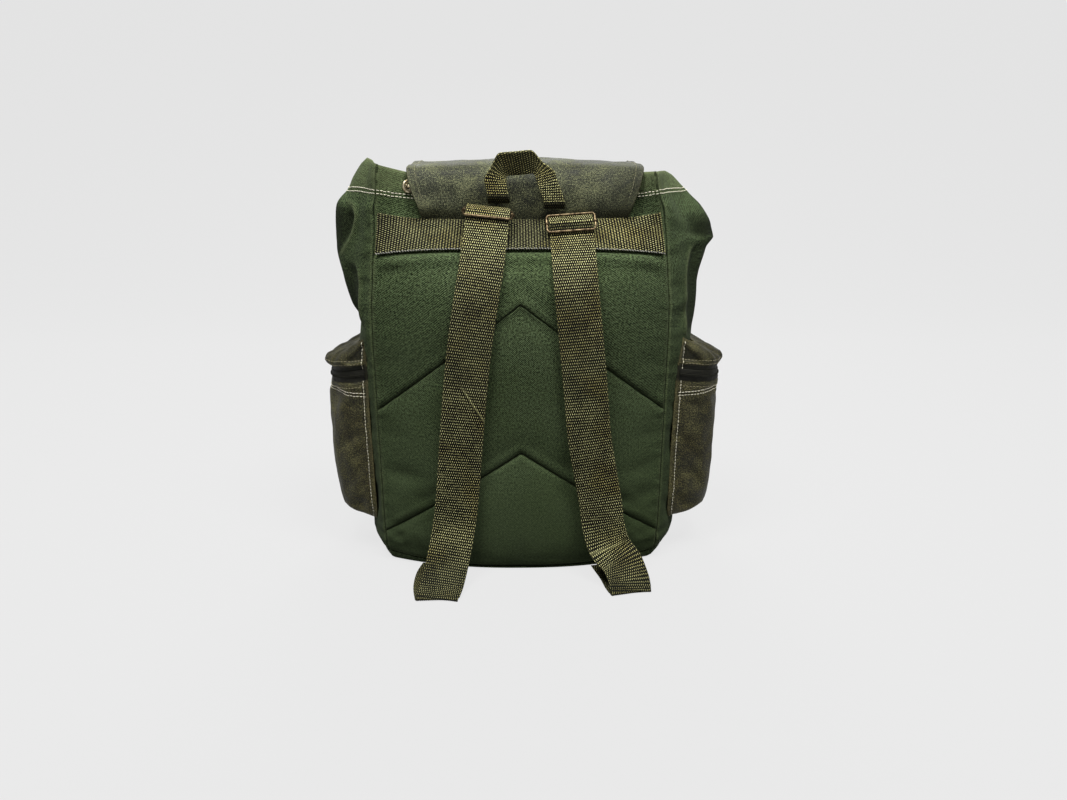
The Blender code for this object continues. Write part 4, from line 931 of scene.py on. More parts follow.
def stripGrid(route, width, foldTurn):
    # Grid and normals of a flat strip whose middle line follows the route to a fold on the floor and back.
    fine = between(route, evenPlaces(route, 40), rounded=True)
    travelled = lengths(fine[:, :3])
    stops = np.linspace(0, travelled[-1], round(travelled[-1] / webbing["along"]) + 1)
    fine = readAt(stops, travelled, fine)
    centres, roll = fine[:, :3], np.radians(fine[:, 3])
    along = unit(np.gradient(centres, axis=0))
    turn = np.radians(foldTurn) * fade(centres[:, 2], 0.045, -0.035)
    across = np.stack([np.cos(roll) * np.cos(turn), np.sin(turn), np.sin(roll)], axis=-1)
    across = unit(across - along * np.sum(across * along, axis=-1, keepdims=True))
    outward = np.cross(along, across)
    places = np.linspace(-width / 2, width / 2, round(width / webbing["across"]) + 1)
    pastFold = stops - stops[np.argmin(centres[:, 1])]
    narrow = 1 - strapSpec["foldDraw"] * bell(pastFold, 0.0045)       # the fold's corners draw in
    grid = centres[:, None] + across[:, None] * places[None, :, None] * narrow[:, None, None]
    return grid, np.broadcast_to(outward[:, None], grid.shape).copy(), stops[:, None], places


crease = {"x": -0.0644, "z": 0.2285, "slope": 0.64, "foot": 0.184, "top": 0.236, "rise": 0.0012, "stand": 0.0010,
          "wearAndHighlight": 0.22, "shade": 0.55}
bend = {"x": 0.0971, "z": 0.0383, "slope": 0.30, "rise": 0.0009, "wearAndHighlight": 0.18, "wearTo": 0.112, "shade": 0.45,
        "sliderFoot": 0.4020, "sliderTop": 0.4112, "sliderShade": 0.65}


def leftCrease(x, _, z):
    # A soft crease runs down across the left strap, and the corner beside it stands up. A painted highlight runs
    # along the crease, and painted shade just left of it.
    gap = (x - (crease["x"] + (crease["z"] - z) * crease["slope"])) * 0.84
    reach = fade(z, crease["foot"], 0.010) * fade(z, crease["top"], -0.010)
    rise = reach * (crease["rise"] * bell(gap, 0.0012) + crease["stand"] * fade(gap, 0, 0.004))
    return rise, crease["wearAndHighlight"] * reach * bell(gap, 0.0010), crease["shade"] * reach * bell(gap + 0.0022, 0.0011)


def rightBend(x, y, z):
    # The right strap bends sharply just above the floor, with a painted highlight along the bend and painted shade
    # just above it; painted shade darkens it inside its slider.
    gap = z - (bend["z"] + bend["slope"] * (x - bend["x"]))
    inSlider = fade(z, bend["sliderTop"], -0.0012) * fade(z, bend["sliderFoot"], 0.0016) * (y < -0.06)
    dustAndShade = np.maximum(bend["shade"] * bell(gap - 0.0022, 0.0014), bend["sliderShade"] * inSlider)
    worn = bend["wearAndHighlight"] * (1 - fade(x, bend["wearTo"], 0.012)) * bell(gap, 0.0012)
    return bend["rise"] * bell(gap, 0.0020), worn, dustAndShade


# "foldTurn" is a strap's turn on the floor in degrees, and the pair of shares is its painted shade before the fold
# and at it.
strapSpec["left"] = {"foldTurn": 0, "phase": 0, "foldShades": (0.32, 0.08), "crease": leftCrease}
strapSpec["right"] = {"foldTurn": 15, "phase": 2, "foldShades": (0.08, 0.26), "crease": rightBend}
for label, route in strapRoutes.items():
    spec = strapSpec[label]
    grid, outward, stops, places = stripGrid(route, strapSpec["width"], spec["foldTurn"])
    rise, wearAndHighlight, dustAndShade = spec["crease"](*np.moveaxis(grid, -1, 0))
    free = fade(stops, 0.06, 0.05) * fade(stops, stops[-1] - 0.13, -0.06)
    # A slow waver and a slightly hollow back, as in webbing that has been rolled up.
    waver = strapSpec["waver"] * np.sin(stops * 31 + spec["phase"])
    cup = strapSpec["hollow"] * (1 - (2 * places / strapSpec["width"]) ** 2)
    relief = free * (waver * places / strapSpec["width"] * 2 + cup) + rise
    # Painted shade: the strap is darker below its top, over its middle, towards the floor and past the fold.
    pastFold = stops - stops[np.argmin(grid[:, 40, 1])]
    grime = strapSpec["grime"] * fade(stops, 0.060, 0.060) + strapSpec["floorShade"] * fade(pastFold, -0.060, 0.030)
    grime = grime + strapSpec["midShade"] * bell(grid[..., 2] - 0.290, 0.075)
    for share, start, length in zip(spec["foldShades"], (-0.085, -0.020), (0.040, 0.016)):
        grime = grime + share * fade(pastFold, start, length)
    grime = np.minimum(grime, strapSpec["most"]) + strapSpec["foldEdgeShade"] * fade(pastFold, -0.009, 0.007)
    # Past the fold the strap is darkened all over: painted shade.
    grime = np.maximum(grime, strapSpec["pastFold"] * fade(pastFold, 0.001, 0.003))
    strap = wovenStrip("shoulderStrap_" + label, grid, outward, strapWeave, strapWebbing, relief, wearAndHighlight,
                       dustAndShade=np.maximum(dustAndShade, grime))
    ridesAs(strap, "olive_webbing", "shoulder_strap_" + label)
print("straps")

# The carry handle: its outer and inner edges in X and Z, its place in Y and how far its outer edge leans out,
# from foot to foot.
handleRows = (
    (-0.0375, 0.4325, -0.0120, 0.4325, -0.0600, 0), (-0.0375, 0.4365, -0.0120, 0.4360, -0.0650, 0),
    (-0.0375, 0.4405, -0.0130, 0.4400, -0.0670, 0), (-0.0385, 0.4470, -0.0145, 0.4465, -0.0665, 0),
    (-0.0410, 0.4580, -0.0155, 0.4560, -0.0650, 0.001), (-0.0330, 0.4730, -0.0155, 0.4600, -0.0625, 0.004),
    (-0.0230, 0.4880, -0.0140, 0.4625, -0.0610, 0.011), (-0.0060, 0.4895, -0.0010, 0.4635, -0.0600, 0.013),
    (0.0112, 0.4910, 0.0140, 0.4650, -0.0610, 0.011), (0.0255, 0.4780, 0.0165, 0.4630, -0.0625, 0.004),
    (0.0395, 0.4670, 0.0175, 0.4600, -0.0640, 0.001), (0.0415, 0.4600, 0.0195, 0.4540, -0.0650, 0),
    (0.0455, 0.4500, 0.0215, 0.4480, -0.0665, 0), (0.0505, 0.4345, 0.0265, 0.4340, -0.0670, 0),
    (0.0512, 0.4300, 0.0270, 0.4295, -0.0655, 0), (0.0515, 0.4265, 0.0270, 0.4265, -0.0607, 0),
)
# Below "footTop", on the left and right, its feet fold back, and painted shade darkens them there. The grip above
# "gripFoot" is rubbed paler.
handleSpec = {"width": 0.0255, "footTop": (0.4425, 0.4345), "footShade": 0.85, "gripFoot": 0.460, "gripWear": 0.04}
fine = between(handleRows, evenPlaces(handleRows, 40))
outerEdge, innerEdge = fine[:, (0, 4, 1)], fine[:, (2, 4, 3)]
outerEdge[:, 1] -= fine[:, 5]
travelled = lengths((outerEdge + innerEdge) / 2)
stops = np.linspace(0, travelled[-1], round(travelled[-1] / webbing["along"]) + 1)
outerEdge, innerEdge = [readAt(stops, travelled, edge) for edge in (outerEdge, innerEdge)]
share = np.linspace(0, 1, round(handleSpec["width"] / webbing["across"]) + 1)[None, :, None]
handleGrid = outerEdge[:, None] * (1 - share) + innerEdge[:, None] * share
handleNormals = facing(gridNormals(handleGrid), (0, -1, 0))
footTop = np.where(handleGrid[..., 0] < 0, *handleSpec["footTop"])
handleFootShade = handleSpec["footShade"] * fade(handleGrid[..., 2], footTop, -0.0015)
handleWear = handleSpec["gripWear"] * fade(handleGrid[..., 2], handleSpec["gripFoot"], 0.015)
carryHandle = wovenStrip("carryHandle", handleGrid, handleNormals, handleWeave, handleWebbing, wearAndHighlight=handleWear,
                         dustAndShade=handleFootShade)
ridesAs(carryHandle, "olive_webbing", "carry_handle")
print("carry handle")


# The lid. Its rows from the seam to the hanging end: left and right edge, Y and Z in the middle, Y at the left
# and right edge, Z at both edges.
lidRows = (
    (-0.117, 0.128, -0.0548, 0.424, -0.0660, -0.0700, 0.428),
    (-0.123, 0.134, -0.0558, 0.439, -0.0650, -0.0710, 0.443),
    (-0.127, 0.138, -0.0520, 0.455, -0.0630, -0.0695, 0.457),
    (-0.129, 0.140, -0.0430, 0.469, -0.0570, -0.0640, 0.468),
    (-0.129, 0.140, -0.0270, 0.476, -0.0420, -0.0470, 0.470),
    (-0.129, 0.140, -0.0050, 0.478, -0.0200, -0.0200, 0.471),
    (-0.129, 0.140, 0.0220, 0.478, 0.0120, 0.0120, 0.472),
    (-0.129, 0.140, 0.0460, 0.474, 0.0420, 0.0420, 0.472),
    (-0.129, 0.140, 0.0650, 0.462, 0.0650, 0.0650, 0.467),
    (-0.129, 0.140, 0.0770, 0.440, 0.0765, 0.0765, 0.446),
    (-0.129, 0.140, 0.0870, 0.408, 0.0850, 0.0850, 0.411),
    (-0.128, 0.139, 0.0970, 0.372, 0.0910, 0.0910, 0.373),
    (-0.127, 0.138, 0.1050, 0.337, 0.0960, 0.0960, 0.337),
    (-0.125, 0.136, 0.1100, 0.306, 0.0990, 0.0990, 0.307),
)
lidSpec = {"thickness": 0.0018, "half": 0.1345, "step": 0.003, "rows": 122,
           "edgeSteps": (0, 0.0002, 0.0006, 0.0012), "seam": (-0.112, 0.123), "tuck": 0.28,
           "hem": 0.0095, "hemRise": 0.0009, "wrinkle": 0.0016, "crumple": 0.0006,
           "gather": 0.0008, "gatherTurns": 210,        # small waves where the lid is gathered at its seam
           "edgeWear": 0.5, "hemWear": 0.25, "grime": 0.38,
           "cloth": {"pressure": 0.12, "slack": 0.006, "cap": 0.0015},
           "stitch": {"pitch": 0.0036, "length": 0.0026, "radius": 0.00034}}
half, near = lidSpec["half"], np.array(lidSpec["edgeSteps"])
inner = np.arange(-half + lidSpec["step"], half - 0.002, lidSpec["step"])
lidPlaces = np.concatenate([-half + near, inner, half - near[::-1]]) / half


def acrossLid(left, right):
    return left + (right - left) * (lidPlaces + 1) / 2


lidKeys = []        # the underside: tucked in under the band, then along its seam, over the mouth and down
for row, lift in ((bandTop - lidSpec["tuck"], 0.0004), (bandTop, 0.0006)):
    row = np.array([row])
    line = backSurface(row, acrossLid(*lidSpec["seam"]) / sectionAt(row)["width"][0, 0])[0]
    lidKeys.append(line + np.array((0, -1, 0.15)) * lift)
for left, right, y, z, leftY, rightY, edgeZ in lidRows:
    lidKeys.append(np.stack([acrossLid(left, right),
                             y + (np.where(lidPlaces > 0, rightY, leftY) - y) * np.abs(lidPlaces) ** 4,
                             z + (edgeZ - z) * np.abs(lidPlaces) ** 1.6], axis=-1))
lidSmooth = resample(between(lidKeys, evenPlaces(lidKeys, 12), rounded=True), lidSpec["rows"], near, near)
toSeam, toFront, toSides = [edgeDistance(lidSmooth, edges) for edges in ("b", "t", "lr")]
toEdge = np.minimum(toSides, toFront)
lidUnder = settleCloth(lidSmooth, bell(toSeam, 0.012), lidSpec["cloth"])
lidNormals = facing(gridNormals(lidSmooth), (0, 0, 1))
hemRise = lidSpec["hemRise"] * (1 - fade(toEdge, lidSpec["hem"], 0.0012))
waves = np.sin(lidSmooth[..., 0] * lidSpec["gatherTurns"] + 4 * noiseField(lidSmooth, 0.06, 7))
soft = (lidSpec["wrinkle"] * noiseField(lidSmooth, 0.045, 3.7)
        + lidSpec["crumple"] * noiseField(lidSmooth, 0.018, 8.1)
        + lidSpec["gather"] * waves * bell(toSeam - 0.012, 0.012)) * fade(toSeam, 0.008, 0.02)
lidOuter = lidUnder + lidNormals * (lidSpec["thickness"] + hemRise + soft)[..., None]
# Paler at its edges and hem from wear, and darker towards its right side.
lidMarks = {"wearAndHighlight": (lidSpec["edgeWear"] * bell(toEdge, 0.0018)
                     + lidSpec["hemWear"] * bell(toEdge - lidSpec["hem"], 0.0015)),
            "dustAndShade": lidSpec["grime"] * fade(lidSmooth[..., 0], 0.050, 0.06)}
lid = shell("lidFlap", lidOuter, lidSpec["thickness"], lidCanvas, -lidNormals, lidMarks)
ridesAs(lid, "waxed_canvas_lid", "lid")

# A row of stitches along both side hems and along the front hem.
lidParts = []
stitchLine = lidSpec["hem"] - 0.0015
lidAcross = widths(lidOuter)
for distance, seed in ((lidAcross, 41), (lidAcross[:, -1:] - lidAcross, 40)):
    column = int(np.argmin(np.abs(distance.mean(axis=0) - stitchLine)))
    lidParts += stitchRow(lidOuter[14:-6, column], lidNormals[14:-6, column], lidSpec["stitch"], seed)
row = int(np.argmin(np.abs(toFront.mean(axis=1) - stitchLine)))
lidParts += stitchRow(lidOuter[row, 5:-5], lidNormals[row, 5:-5], lidSpec["stitch"], 43)
ridesAs(joined("lidStitches", lidParts, oliveThread), "waxed_canvas_lid")
print("lid")


# The side pockets. Their rows from top to foot: height, how far it drops on the face, how far the face stands
# out and half its span.
pocketRows = (
    (0.277, 0.015, 0.004, 0.062), (0.268, 0.011, 0.015, 0.063), (0.254, 0.005, 0.034, 0.065),
    (0.242, 0.001, 0.0425, 0.066), (0.226, 0.000, 0.0425, 0.067), (0.204, 0.000, 0.043, 0.067),
    (0.165, 0.000, 0.0435, 0.067), (0.120, 0.000, 0.0440, 0.067), (0.080, 0.000, 0.0430, 0.066),
    (0.062, 0.000, 0.0422, 0.064), (0.0545, 0.000, 0.0408, 0.0630), (0.0505, 0.000, 0.0370, 0.0610),
    (0.0468, 0.000, 0.0210, 0.0585), (0.044, 0.000, 0.003, 0.057),
)
# "stretch" is how far the body and the flap stand out. The flap's edge and the zip are heights at the seams, and
# how far each drops on the face. The lip is the cloth that folds over the zip, in the trough "under" it.
pocketSpec = {
    "thickness": 0.0018, "seat": 0.0006, "square": 1.12, "footSquare": 0.45, "halfSpan": 0.067,
    "flap": (0.2460, 0.0115), "zipTop": (0.2400, 0.0120), "zipFoot": (0.2255, 0.0100), "seam": 0.2055,
    "rows": 110, "columns": 80, "edgeSteps": (0, 0.0003, 0.0008, 0.0016),
    "wrinkle": 0.0022, "flapWrinkle": 0.0022, "crumple": 0.0007, "pleat": 0.0022, "lowPleat": 0.25,
    "seamGroove": 0.0008, "pinch": 0.0040, "pinchShade": 0.85, "edgeWear": 0.45, "lipWear": 0.12, "footWear": 0.3,
    "cloth": {"pressure": 0.7, "slack": 0.020, "cap": 0.005},
    -1: {"label": "left", "stretch": (1.0, 1.0), "lip": 0.0022, "under": 0.0030, "grime": 0.50},
    1: {"label": "right", "stretch": (1.06, 1.005), "lip": 0.0009, "under": 0.0014, "grime": 0.44},
    "stitch": {"pitch": 0.0042, "length": 0.0033, "radius": 0.00040},
    "tanStitch": {"pitch": 0.0046, "length": 0.0030, "radius": 0.00027},
    "tanRows": ((0.2515, 0.0115), (0.2472, 0.0115), (0.2185, 0.0100)), "creamRows": (0.2088, 0.2048),
}
zipSpec = {"thickness": 0.0012, "lift": 0.0012, "crown": 0.0008, "coilLift": 0.0023, "coilHalf": 0.0007,
           "coil": {"pitch": 0.0017, "length": 0.0012, "radius": 0.00055}}


def pocketRoot(side, y, z):
    # How far the smooth side panel stands out at places in Y and Z.
    s = sectionAt(np.interp(z.ravel(), sections[:, 0], np.arange(len(sections))))
    places = 2 * (y.ravel()[:, None] - s["back"]) / (s["front"] - s["back"]) - 1
    return sideReach(s, places, side).reshape(y.shape)


def pocketSurface(side, rows, turns):
    height, dip, out, span = between(pocketRows, rows).T[..., None]
    angle = turns[None, :] * math.pi / 2
    z = height - dip * np.cos(angle)
    y = np.sign(angle) * np.abs(np.sin(angle)) ** pocketSpec["square"] * span
    root = pocketRoot(side, y, z) + pocketSpec["seat"]
    body, flap = pocketSpec[side]["stretch"]
    out = out * (body + (flap - body) * fade(height, 0.212, 0.012))
    face = pocketRoot(side, np.zeros_like(y), z) + np.maximum(out, pocketSpec["seat"])
    square = pocketSpec["square"] + pocketSpec["footSquare"] * fade(height, 0.080, -0.030)
    x = side * (root + np.maximum(face - root, 0) * np.cos(angle) ** square)
    return np.stack([x, y, z], axis=-1)


def makePocket(side):
    spec, ends = pocketSpec[side], pocketSpec["edgeSteps"]
    label = spec["label"]
    dense = pocketSurface(side, evenPlaces(pocketRows, 12), np.linspace(-1, 1, 240))
    smooth = resample(dense, pocketSpec["rows"], ends, ends)
    smooth = np.swapaxes(resample(np.swapaxes(smooth, 0, 1), pocketSpec["columns"], ends, ends), 0, 1)
    z, toEdge = smooth[..., 2], edgeDistance(smooth)
    bulge = np.sqrt(np.clip(1 - (smooth[..., 1] / pocketSpec["halfSpan"]) ** 2, 0, 1))
    flapEdge, zipTop, zipFoot = [pocketSpec[key][0] - pocketSpec[key][1] * bulge
                                 for key in ("flap", "zipTop", "zipFoot")]
    held = np.maximum(bell(toEdge, 0.006), bell(z - zipTop, 0.010))
    grid = settleCloth(smooth, held, pocketSpec["cloth"])
    normals = facing(gridNormals(smooth), (side, 0, 0))

    def crumpled(size, seed, squash=1.0, tall=1.0):
        return noiseField(smooth * np.array((squash, 1, tall)), size, seed * side)

    flat = fade(toEdge, 0, 0.008)
    soft = (pocketSpec["wrinkle"] * crumpled(0.050, 11.3, tall=0.7) * fade(toEdge, 0, 0.02)
            + pocketSpec["crumple"] * crumpled(0.018, 2.9) * fade(toEdge, 0, 0.01)
            + pocketSpec["flapWrinkle"] * crumpled(0.022, 7.7) * fade(z, 0.240, 0.008) * flat)
    lip = spec["lip"] * bell(z - flapEdge - 0.003, 0.0035)
    lip = lip - pocketSpec["seamGroove"] * bell(z - pocketSpec["seam"], 0.0022)
    lip = lip - spec["under"] * fade(z, flapEdge, -0.002) * fade(z, zipFoot - 0.002, 0.003)
    pleats = pocketSpec["pleat"] * (1 - np.abs(crumpled(0.014, 5.5, 0.4, 0.35)) * 2.2)
    pleats = pleats * (fade(z, flapEdge, 0.006) + pocketSpec["lowPleat"] * fade(z, 0.2, -0.04))
    # The flap's end is pinched beside the back seam, and painted shade darkens it there.
    backness = -smooth[..., 1] / np.abs(smooth[..., 1]).max(axis=1, keepdims=True)
    pinch = (fade(backness, 0.85, 0.05) * fade(backness, 0.995, -0.004) * fade(z, flapEdge + 0.002, 0.004)
             * fade(z, 0.268 - 0.18 * (0.985 - backness), -0.004))
    grid = grid + normals * (soft + (lip + pleats) * flat - pocketSpec["pinch"] * pinch)[..., None]
    wearAndHighlight = (pocketSpec["edgeWear"] * bell(toEdge, 0.003) + pocketSpec["lipWear"] * bell(z - flapEdge - 0.003, 0.002)
            + pocketSpec["footWear"] * bell(z - 0.052, 0.006))
    # Painted shade in the trough under the lip, over the flap above its edge, and in the pinch.
    dustAndShade = np.maximum.reduce([fade(z, flapEdge, -0.0015) * fade(z, zipFoot - 0.002, 0.002),
                              spec["grime"] * fade(z, flapEdge, 0.004), pocketSpec["pinchShade"] * pinch])
    pocket = shell("sidePocket_" + label, grid, pocketSpec["thickness"], pocketCanvas, -normals,
                   {"wearAndHighlight": wearAndHighlight, "dustAndShade": dustAndShade})
    ridesAs(pocket, "waxed_canvas_pocket", "side_pocket_" + label)

    def onPocket(height, drop, lift=0.0):
        # A line round the pocket at a height that drops towards its face, lifted off its surface.
        line, out = [], []
        for column in range(4, grid.shape[1] - 4):
            order = np.argsort(z[:, column])
            heights = z[order, column] + drop * bulge[order, column]
            line.append(readAt([height], heights, grid[order, column])[0])
            out.append(readAt([height], heights, normals[order, column])[0])
        line, out = np.array(line), unit(np.array(out))
        return line + out * lift, out

    # The zip's tape and its coil, in the trough under the lip.
    top, foot = np.array(pocketSpec["zipTop"]), np.array(pocketSpec["zipFoot"])
    strips = [onPocket(*(top + (foot - top) * share),
                       zipSpec["lift"] + zipSpec["crown"] * math.cos((share - 0.5) * math.pi))
              for share in np.linspace(0, 1, 13)]
    tapeGrid = np.array([line for line, _ in strips])
    tape = shell("zipTape_" + label, tapeGrid, zipSpec["thickness"], zipTape,
                 -np.broadcast_to(strips[-1][1], tapeGrid.shape), {"wearAndHighlight": np.zeros(tapeGrid.shape[:2])})
    ridesAs(tape, "zip_tape", "pocket_zip_" + label)
    middle, out = onPocket(*((top + foot) / 2), zipSpec["coilLift"])
    coils = [part for shift in (-zipSpec["coilHalf"], zipSpec["coilHalf"])
             for part in stitchRow(middle + np.array((0, 0, shift)), out, zipSpec["coil"], 60)]
    ridesAs(joined("zipCoil_" + label, coils, zipTape), "zip_tape")

    # Tan stitches along the zip, two cream rows below it, and a cream row down each side seam.
    tan = [part for place in pocketSpec["tanRows"]
           for part in stitchRow(*onPocket(*place), pocketSpec["tanStitch"], 70 + side)]
    ridesAs(joined("pocketSeamStitches_" + label, tan, tanThread), "waxed_canvas_pocket")
    rows = [(*onPocket(height, 0.0), 73) for height in pocketSpec["creamRows"]]
    rows += [(grid[4:-4, column], normals[4:-4, column], 76) for column in (5, grid.shape[1] - 6)]
    cream = [part for line, out, seed in rows for part in stitchRow(line, out, pocketSpec["stitch"], seed + side)]
    ridesAs(joined("pocketStitches_" + label, cream, creamThread), "cream_cord")
    print("side pocket", label)


for side in (-1, 1):
    makePocket(side)


# The sliders: a wire frame, a bar whose ends are bent round it, and for each side its place, lean and roll.
sliderSpec = {"wire": 0.0014, "height": 0.0215, "width": 0.0550, "corner": 0.0035, "bar": 0.00126,
              "joint": 0.006, "jointDepth": 0.30,       # the wire's two ends butt here
              "loop": 0.0021, "loopWire": 0.0009, "overhang": 0.0004,
              "left": ((-0.0366, -0.0735, 0.4219), 72, -6), "right": ((0.0575, -0.0775, 0.4117), 37, 4)}


def sliderParts(spec):
    halfWidth, halfHeight, corner = spec["width"] / 2, spec["height"] / 2, spec["corner"]
    outline = []
    for quarter, (right, up) in enumerate(((1, 1), (-1, 1), (-1, -1), (1, -1))):
        for turn in np.radians(90 * (quarter + np.arange(9) / 8)):
            outline.append((right * (halfWidth - corner) + corner * math.cos(turn), 0,
                            up * (halfHeight - corner) + corner * math.sin(turn)))
    ring = resample(np.array(outline + outline[:1]), 181)[:-1]
    along = lengths(ring)
    joint = along[np.argmin(np.hypot(ring[:, 0] - spec["joint"], ring[:, 2] - halfHeight))]
    radius = spec["wire"] * (1 - spec["jointDepth"] * bell(along - joint, 0.0007))
    reach = halfWidth + spec["overhang"]
    bar = np.stack([np.linspace(-reach, reach, 30), np.zeros(30), np.zeros(30)], axis=-1)
    parts = [tubeMesh(ring, radius, 14, closed=True), tubeMesh(bar, spec["bar"], 12)]
    turns = np.radians(np.linspace(-150, 150, 25))
    for end in (-1, 1):
        loop = np.stack([end * (halfWidth + spec["loop"] * np.cos(turns)), spec["loop"] * np.sin(turns),
                         np.linspace(-0.0006, 0.0006, 25)], axis=-1)
        parts.append(tubeMesh(loop, spec["loopWire"], 10))
    return parts


for label in ("left", "right"):
    place, lean, roll = sliderSpec[label]
    slider = joined("strapSlider_" + label, sliderParts(sliderSpec), wireBrass)
    slider.data.transform(Matrix.Translation(place) @ Matrix.Rotation(math.radians(-roll), 4, "Y")
                          @ Matrix.Rotation(math.radians(-lean), 4, "X"))
    ridesAs(slider, "antique_brass_wire", "strap_slider_" + label)

# The eyelets in the back hem. "rise" is their place in the hem's height.
eyeletSpec = {"x": 0.1250, "rise": 0.45, "hole": 0.0035, "barrel": 0.0042, "flange": 0.0078, "lip": 0.0012,
              "seat": 0.0008, "dome": 0.0017, "rear": 0.85, "sides": 36, "drill": (-0.008, 0.006), "play": 0.0004}


def hemPlace(x):
    # Place of the eyelets' row on the outside of the back hem, the outward direction and the way along it.
    def at(x, row):
        row = np.array([float(row)])
        return backSurface(row, np.array([x / sectionAt(row)["width"][0, 0]]))[0, 0]
    foot, edge = at(x, hemFoot), at(x, hemEdge)
    ahead = at(x + 0.004, hemFoot) - foot
    return foot + (edge - foot) * eyeletSpec["rise"], unit(np.cross(ahead, edge - foot)), unit(ahead)


def eyeletMesh(spec):
    # The eyelet's outline, turned round its axis: its barrel, the domed flange and the flat one behind the hem.
    hole, flange, barrel = spec["hole"], spec["flange"], spec["barrel"]
    front, rear = spec["seat"], -wall["hemCloth"] - spec["seat"]
    middle, half = (flange + hole) / 2, (flange - hole) / 2
    dome = [(middle + half * math.cos(turn), front + spec["dome"] * math.sin(turn) ** 0.8)
            for turn in np.radians(np.linspace(0, 180, 11))]
    outline = np.array([(barrel, front)] + dome + [
        (hole, rear - spec["lip"]), (spec["rear"] * flange, rear - spec["lip"]), (spec["rear"] * flange, rear),
        (barrel, rear)])
    turns = np.arange(spec["sides"])[:, None] * tau / spec["sides"]
    radius, height = outline.T[:, None]
    points = np.stack([radius * np.cos(turns), radius * np.sin(turns), height + 0 * turns], axis=-1)
    return points.reshape(-1, 3), gridFaces(numbered(*points.shape[:2]), around=True, closed=True)


for side, label in ((-1, "left"), (1, "right")):
    centre, out, _ = hemPlace(side * eyeletSpec["x"])
    place = Matrix.Translation(centre) @ Vector(out).to_track_quat("Z", "Y").to_matrix().to_4x4()
    points, faces = eyeletMesh(eyeletSpec)
    eyelet = newObject("eyeletRing_" + label, points, faces, eyeletBrass, points[:, :2])
    eyelet.data.transform(place)
    ridesAs(eyelet, "eyelet_brass", "eyelet_" + label)
    # The hole in the hem that the eyelet lines.
    bore = tubeMesh([(0, 0, end) for end in eyeletSpec["drill"]], eyeletSpec["barrel"] + eyeletSpec["play"], 24)
    drill = joined("drill", [bore], eyeletBrass)
    drill.data.transform(place)
    hole = backPanel.modifiers.new("hole", "BOOLEAN")
    hole.operation, hole.object = "DIFFERENCE", drill
    cut = bpy.data.meshes.new_from_object(backPanel.evaluated_get(bpy.context.evaluated_depsgraph_get()))
    backPanel.modifiers.clear()
    backPanel.data = cut
    bpy.data.objects.remove(drill, do_unlink=True)
print("sliders and eyelets")

# The drawcord: outside the hem between the eyelets, under the lid, and inside it round the sides and the front.
# "turn" is its way through an eyelet: distance out of the hem and shift towards the bag's middle.
cordSpec = {"radius": 0.0021, "clearance": 0.0038, "strands": 3, "lay": 0.011, "groove": 0.35, "step": 0.0014,
            "turn": ((-0.0120, -0.0050), (-0.0065, -0.0006), (-0.0010, 0), (0.0034, 0.0016), (0.0052, 0.0062)),
            "outside": (-0.105, -0.08, -0.05, -0.02, 0.02, 0.05, 0.08, 0.105)}
through = []
for side in (-1, 1):
    centre, out, ahead = hemPlace(side * eyeletSpec["x"])
    through.append([centre + out * distance - side * ahead * shift for distance, shift in cordSpec["turn"]])
outside = [place + out * cordSpec["clearance"] for place, out, _ in map(hemPlace, cordSpec["outside"])]


def insideLine(surface, places):
    grid = surface(hemFoot + eyeletSpec["rise"] + np.array((-0.02, 0, 0.02)), places)
    normals = facing(gridNormals(grid)[1], grid[1] - np.array((0, 0, 0.45)))
    return list(grid[1] - normals * (wall["hemCloth"] + cordSpec["clearance"]))


inside = insideLine(partial(sideSurface, side=1), np.linspace(-0.86, 0.86, 7))
inside += insideLine(frontSurface, np.linspace(0.9, -0.9, 9))
inside += insideLine(partial(sideSurface, side=-1), np.linspace(0.86, -0.86, 7))
cordPoints = np.array(through[0] + outside + through[1][::-1] + inside)
around = np.concatenate([cordPoints[-2:], cordPoints, cordPoints[:3]])
cordFine = between(around, evenPlaces(around, 16)[32:-32], rounded=True)
cordFine = resample(cordFine, round(float(lengths(cordFine)[-1]) / cordSpec["step"]))[:-1]
cord = tubeMesh(cordFine, cordSpec["radius"], 18, closed=True, lobes=cordSpec["strands"], pitch=cordSpec["lay"],
                depth=cordSpec["groove"])
ridesAs(joined("drawcordRope", [cord], creamCord), "cream_cord", "drawcord")
print("drawcord")


# Studio and camera.

studio = {
    "world": 0.14, "paperGlow": 0.950,
    "softboxes": {      # place, target, size and power
        "left softbox": ((-0.55, -0.85, 2.40), (0, -0.05, 0.20), 0.8, 66.0),
        "right softbox": ((0.60, -0.85, 2.40), (0, -0.05, 0.20), 0.8, 66.0),
        "front softbox": ((0.0, -2.4, 0.9), (0, 0, 0.20), 1.6, 6.0),
        "rear softbox": ((0.0, 1.75, 1.70), (0, 0.05, 0.22), 0.9, 20.0),
    },
    "cameraPlace": (0.0, -1.1473253, 0.4991141), "cameraAxis": (0.01343517, 0.96364474, -0.26684885),
    "lens": 31.378, "sensor": 36,
    "wall": 2.8, "bend": 1.6, "height": 4.0, "half": 4.0,       # the paper's sweep
}
scene = bpy.context.scene
scene.view_settings.view_transform = "Standard"
camera = bpy.data.objects.new("camera", bpy.data.cameras.new("camera"))
scene.collection.objects.link(camera)
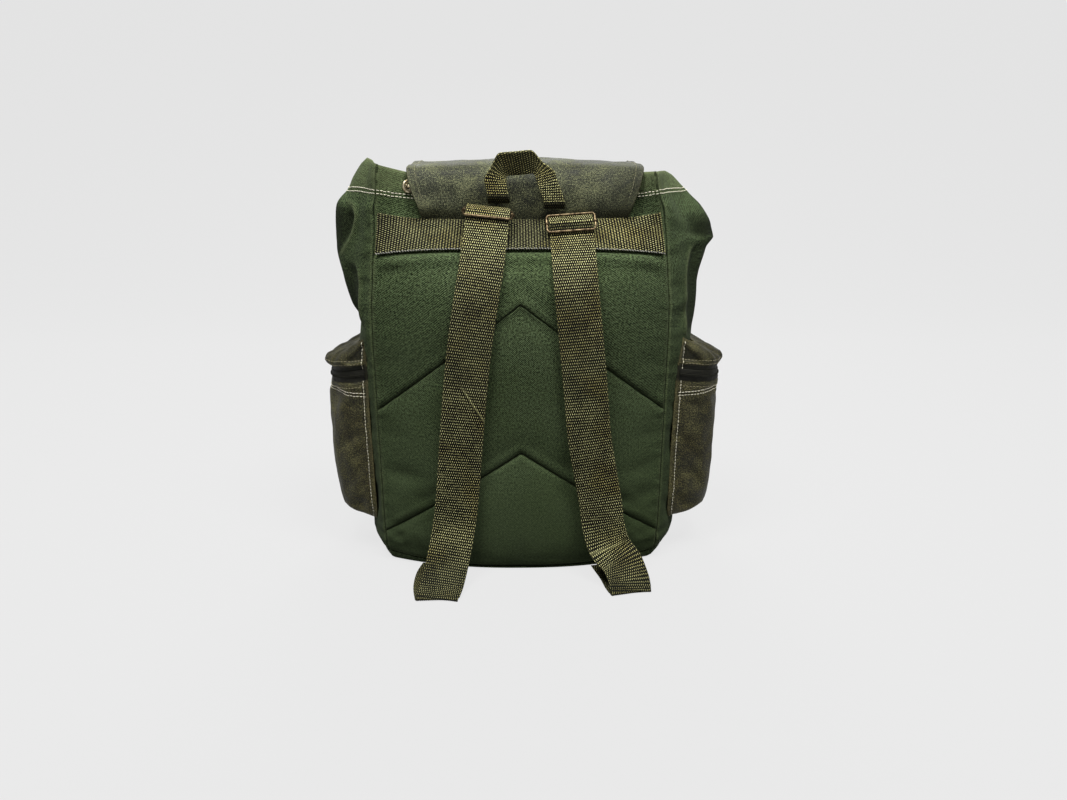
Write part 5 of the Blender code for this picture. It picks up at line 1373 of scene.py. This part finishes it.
axis = np.array(studio["cameraAxis"])
rightward = unit(np.cross(axis, (0, 0, 1)))
turned = Matrix(np.stack([rightward, np.cross(rightward, axis), -axis], axis=-1).tolist()).to_4x4()
camera.matrix_world = Matrix.Translation(studio["cameraPlace"]) @ turned
camera.data.lens = studio["lens"]
camera.data.sensor_width = studio["sensor"]
scene.camera = camera

# A pale paper sweep: floor, bend and wall in one sheet.
radius, back = studio["bend"], studio["wall"] - studio["bend"]
sweep = [(-studio["half"], 0.0), (-2.0, 0.0), (-1.0, 0.0), (0.0, 0.0), (back, 0.0)]
sweep += [(back + radius * math.sin(turn), radius - radius * math.cos(turn))
          for turn in np.radians(np.linspace(6, 90, 15))]
sweep += [(studio["wall"], 2.6), (studio["wall"], studio["height"])]
sweepGrid = np.array([[(x, y, z) for x in np.linspace(-studio["half"], studio["half"], 9)] for y, z in sweep])
paper, add = newMaterial("matt backdrop paper")
fleck = add("TexNoise", {"Scale": 300.0, "Detail": 2.0})
finished(paper, {
    "Base Color": add("Mix", {0: fleck, 6: linear("#1C1C1C"), 7: linear("#1F1F1F")}, 2, data_type="RGBA"),
    "Roughness": 0.95, "Emission Color": linear("#E6E6E6"), "Emission Strength": studio["paperGlow"]})
backdrop = newObject("backdrop", sweepGrid.reshape(-1, 3), gridFaces(numbered(*sweepGrid.shape[:2])), paper,
                     sweepGrid[..., :2].reshape(-1, 2))
backdrop.visible_diffuse = False        # it is pale, but doesn't fill the bag's shadows

world = bpy.data.worlds.new("studio")
world.use_nodes = True
fillSockets(world.node_tree, world.node_tree.nodes["Background"],
            {"Color": linear("#F4F5F6"), "Strength": studio["world"]})
scene.world = world
for name, (place, target, size, power) in studio["softboxes"].items():
    lamp = bpy.data.lights.new(name, "AREA")
    lamp.shape, lamp.size, lamp.energy = "SQUARE", size, power
    item = bpy.data.objects.new(name, lamp)
    item.location = place
    item.rotation_euler = (Vector(target) - Vector(place)).to_track_quat("-Z", "Y").to_euler()
    scene.collection.objects.link(item)
print("studio")
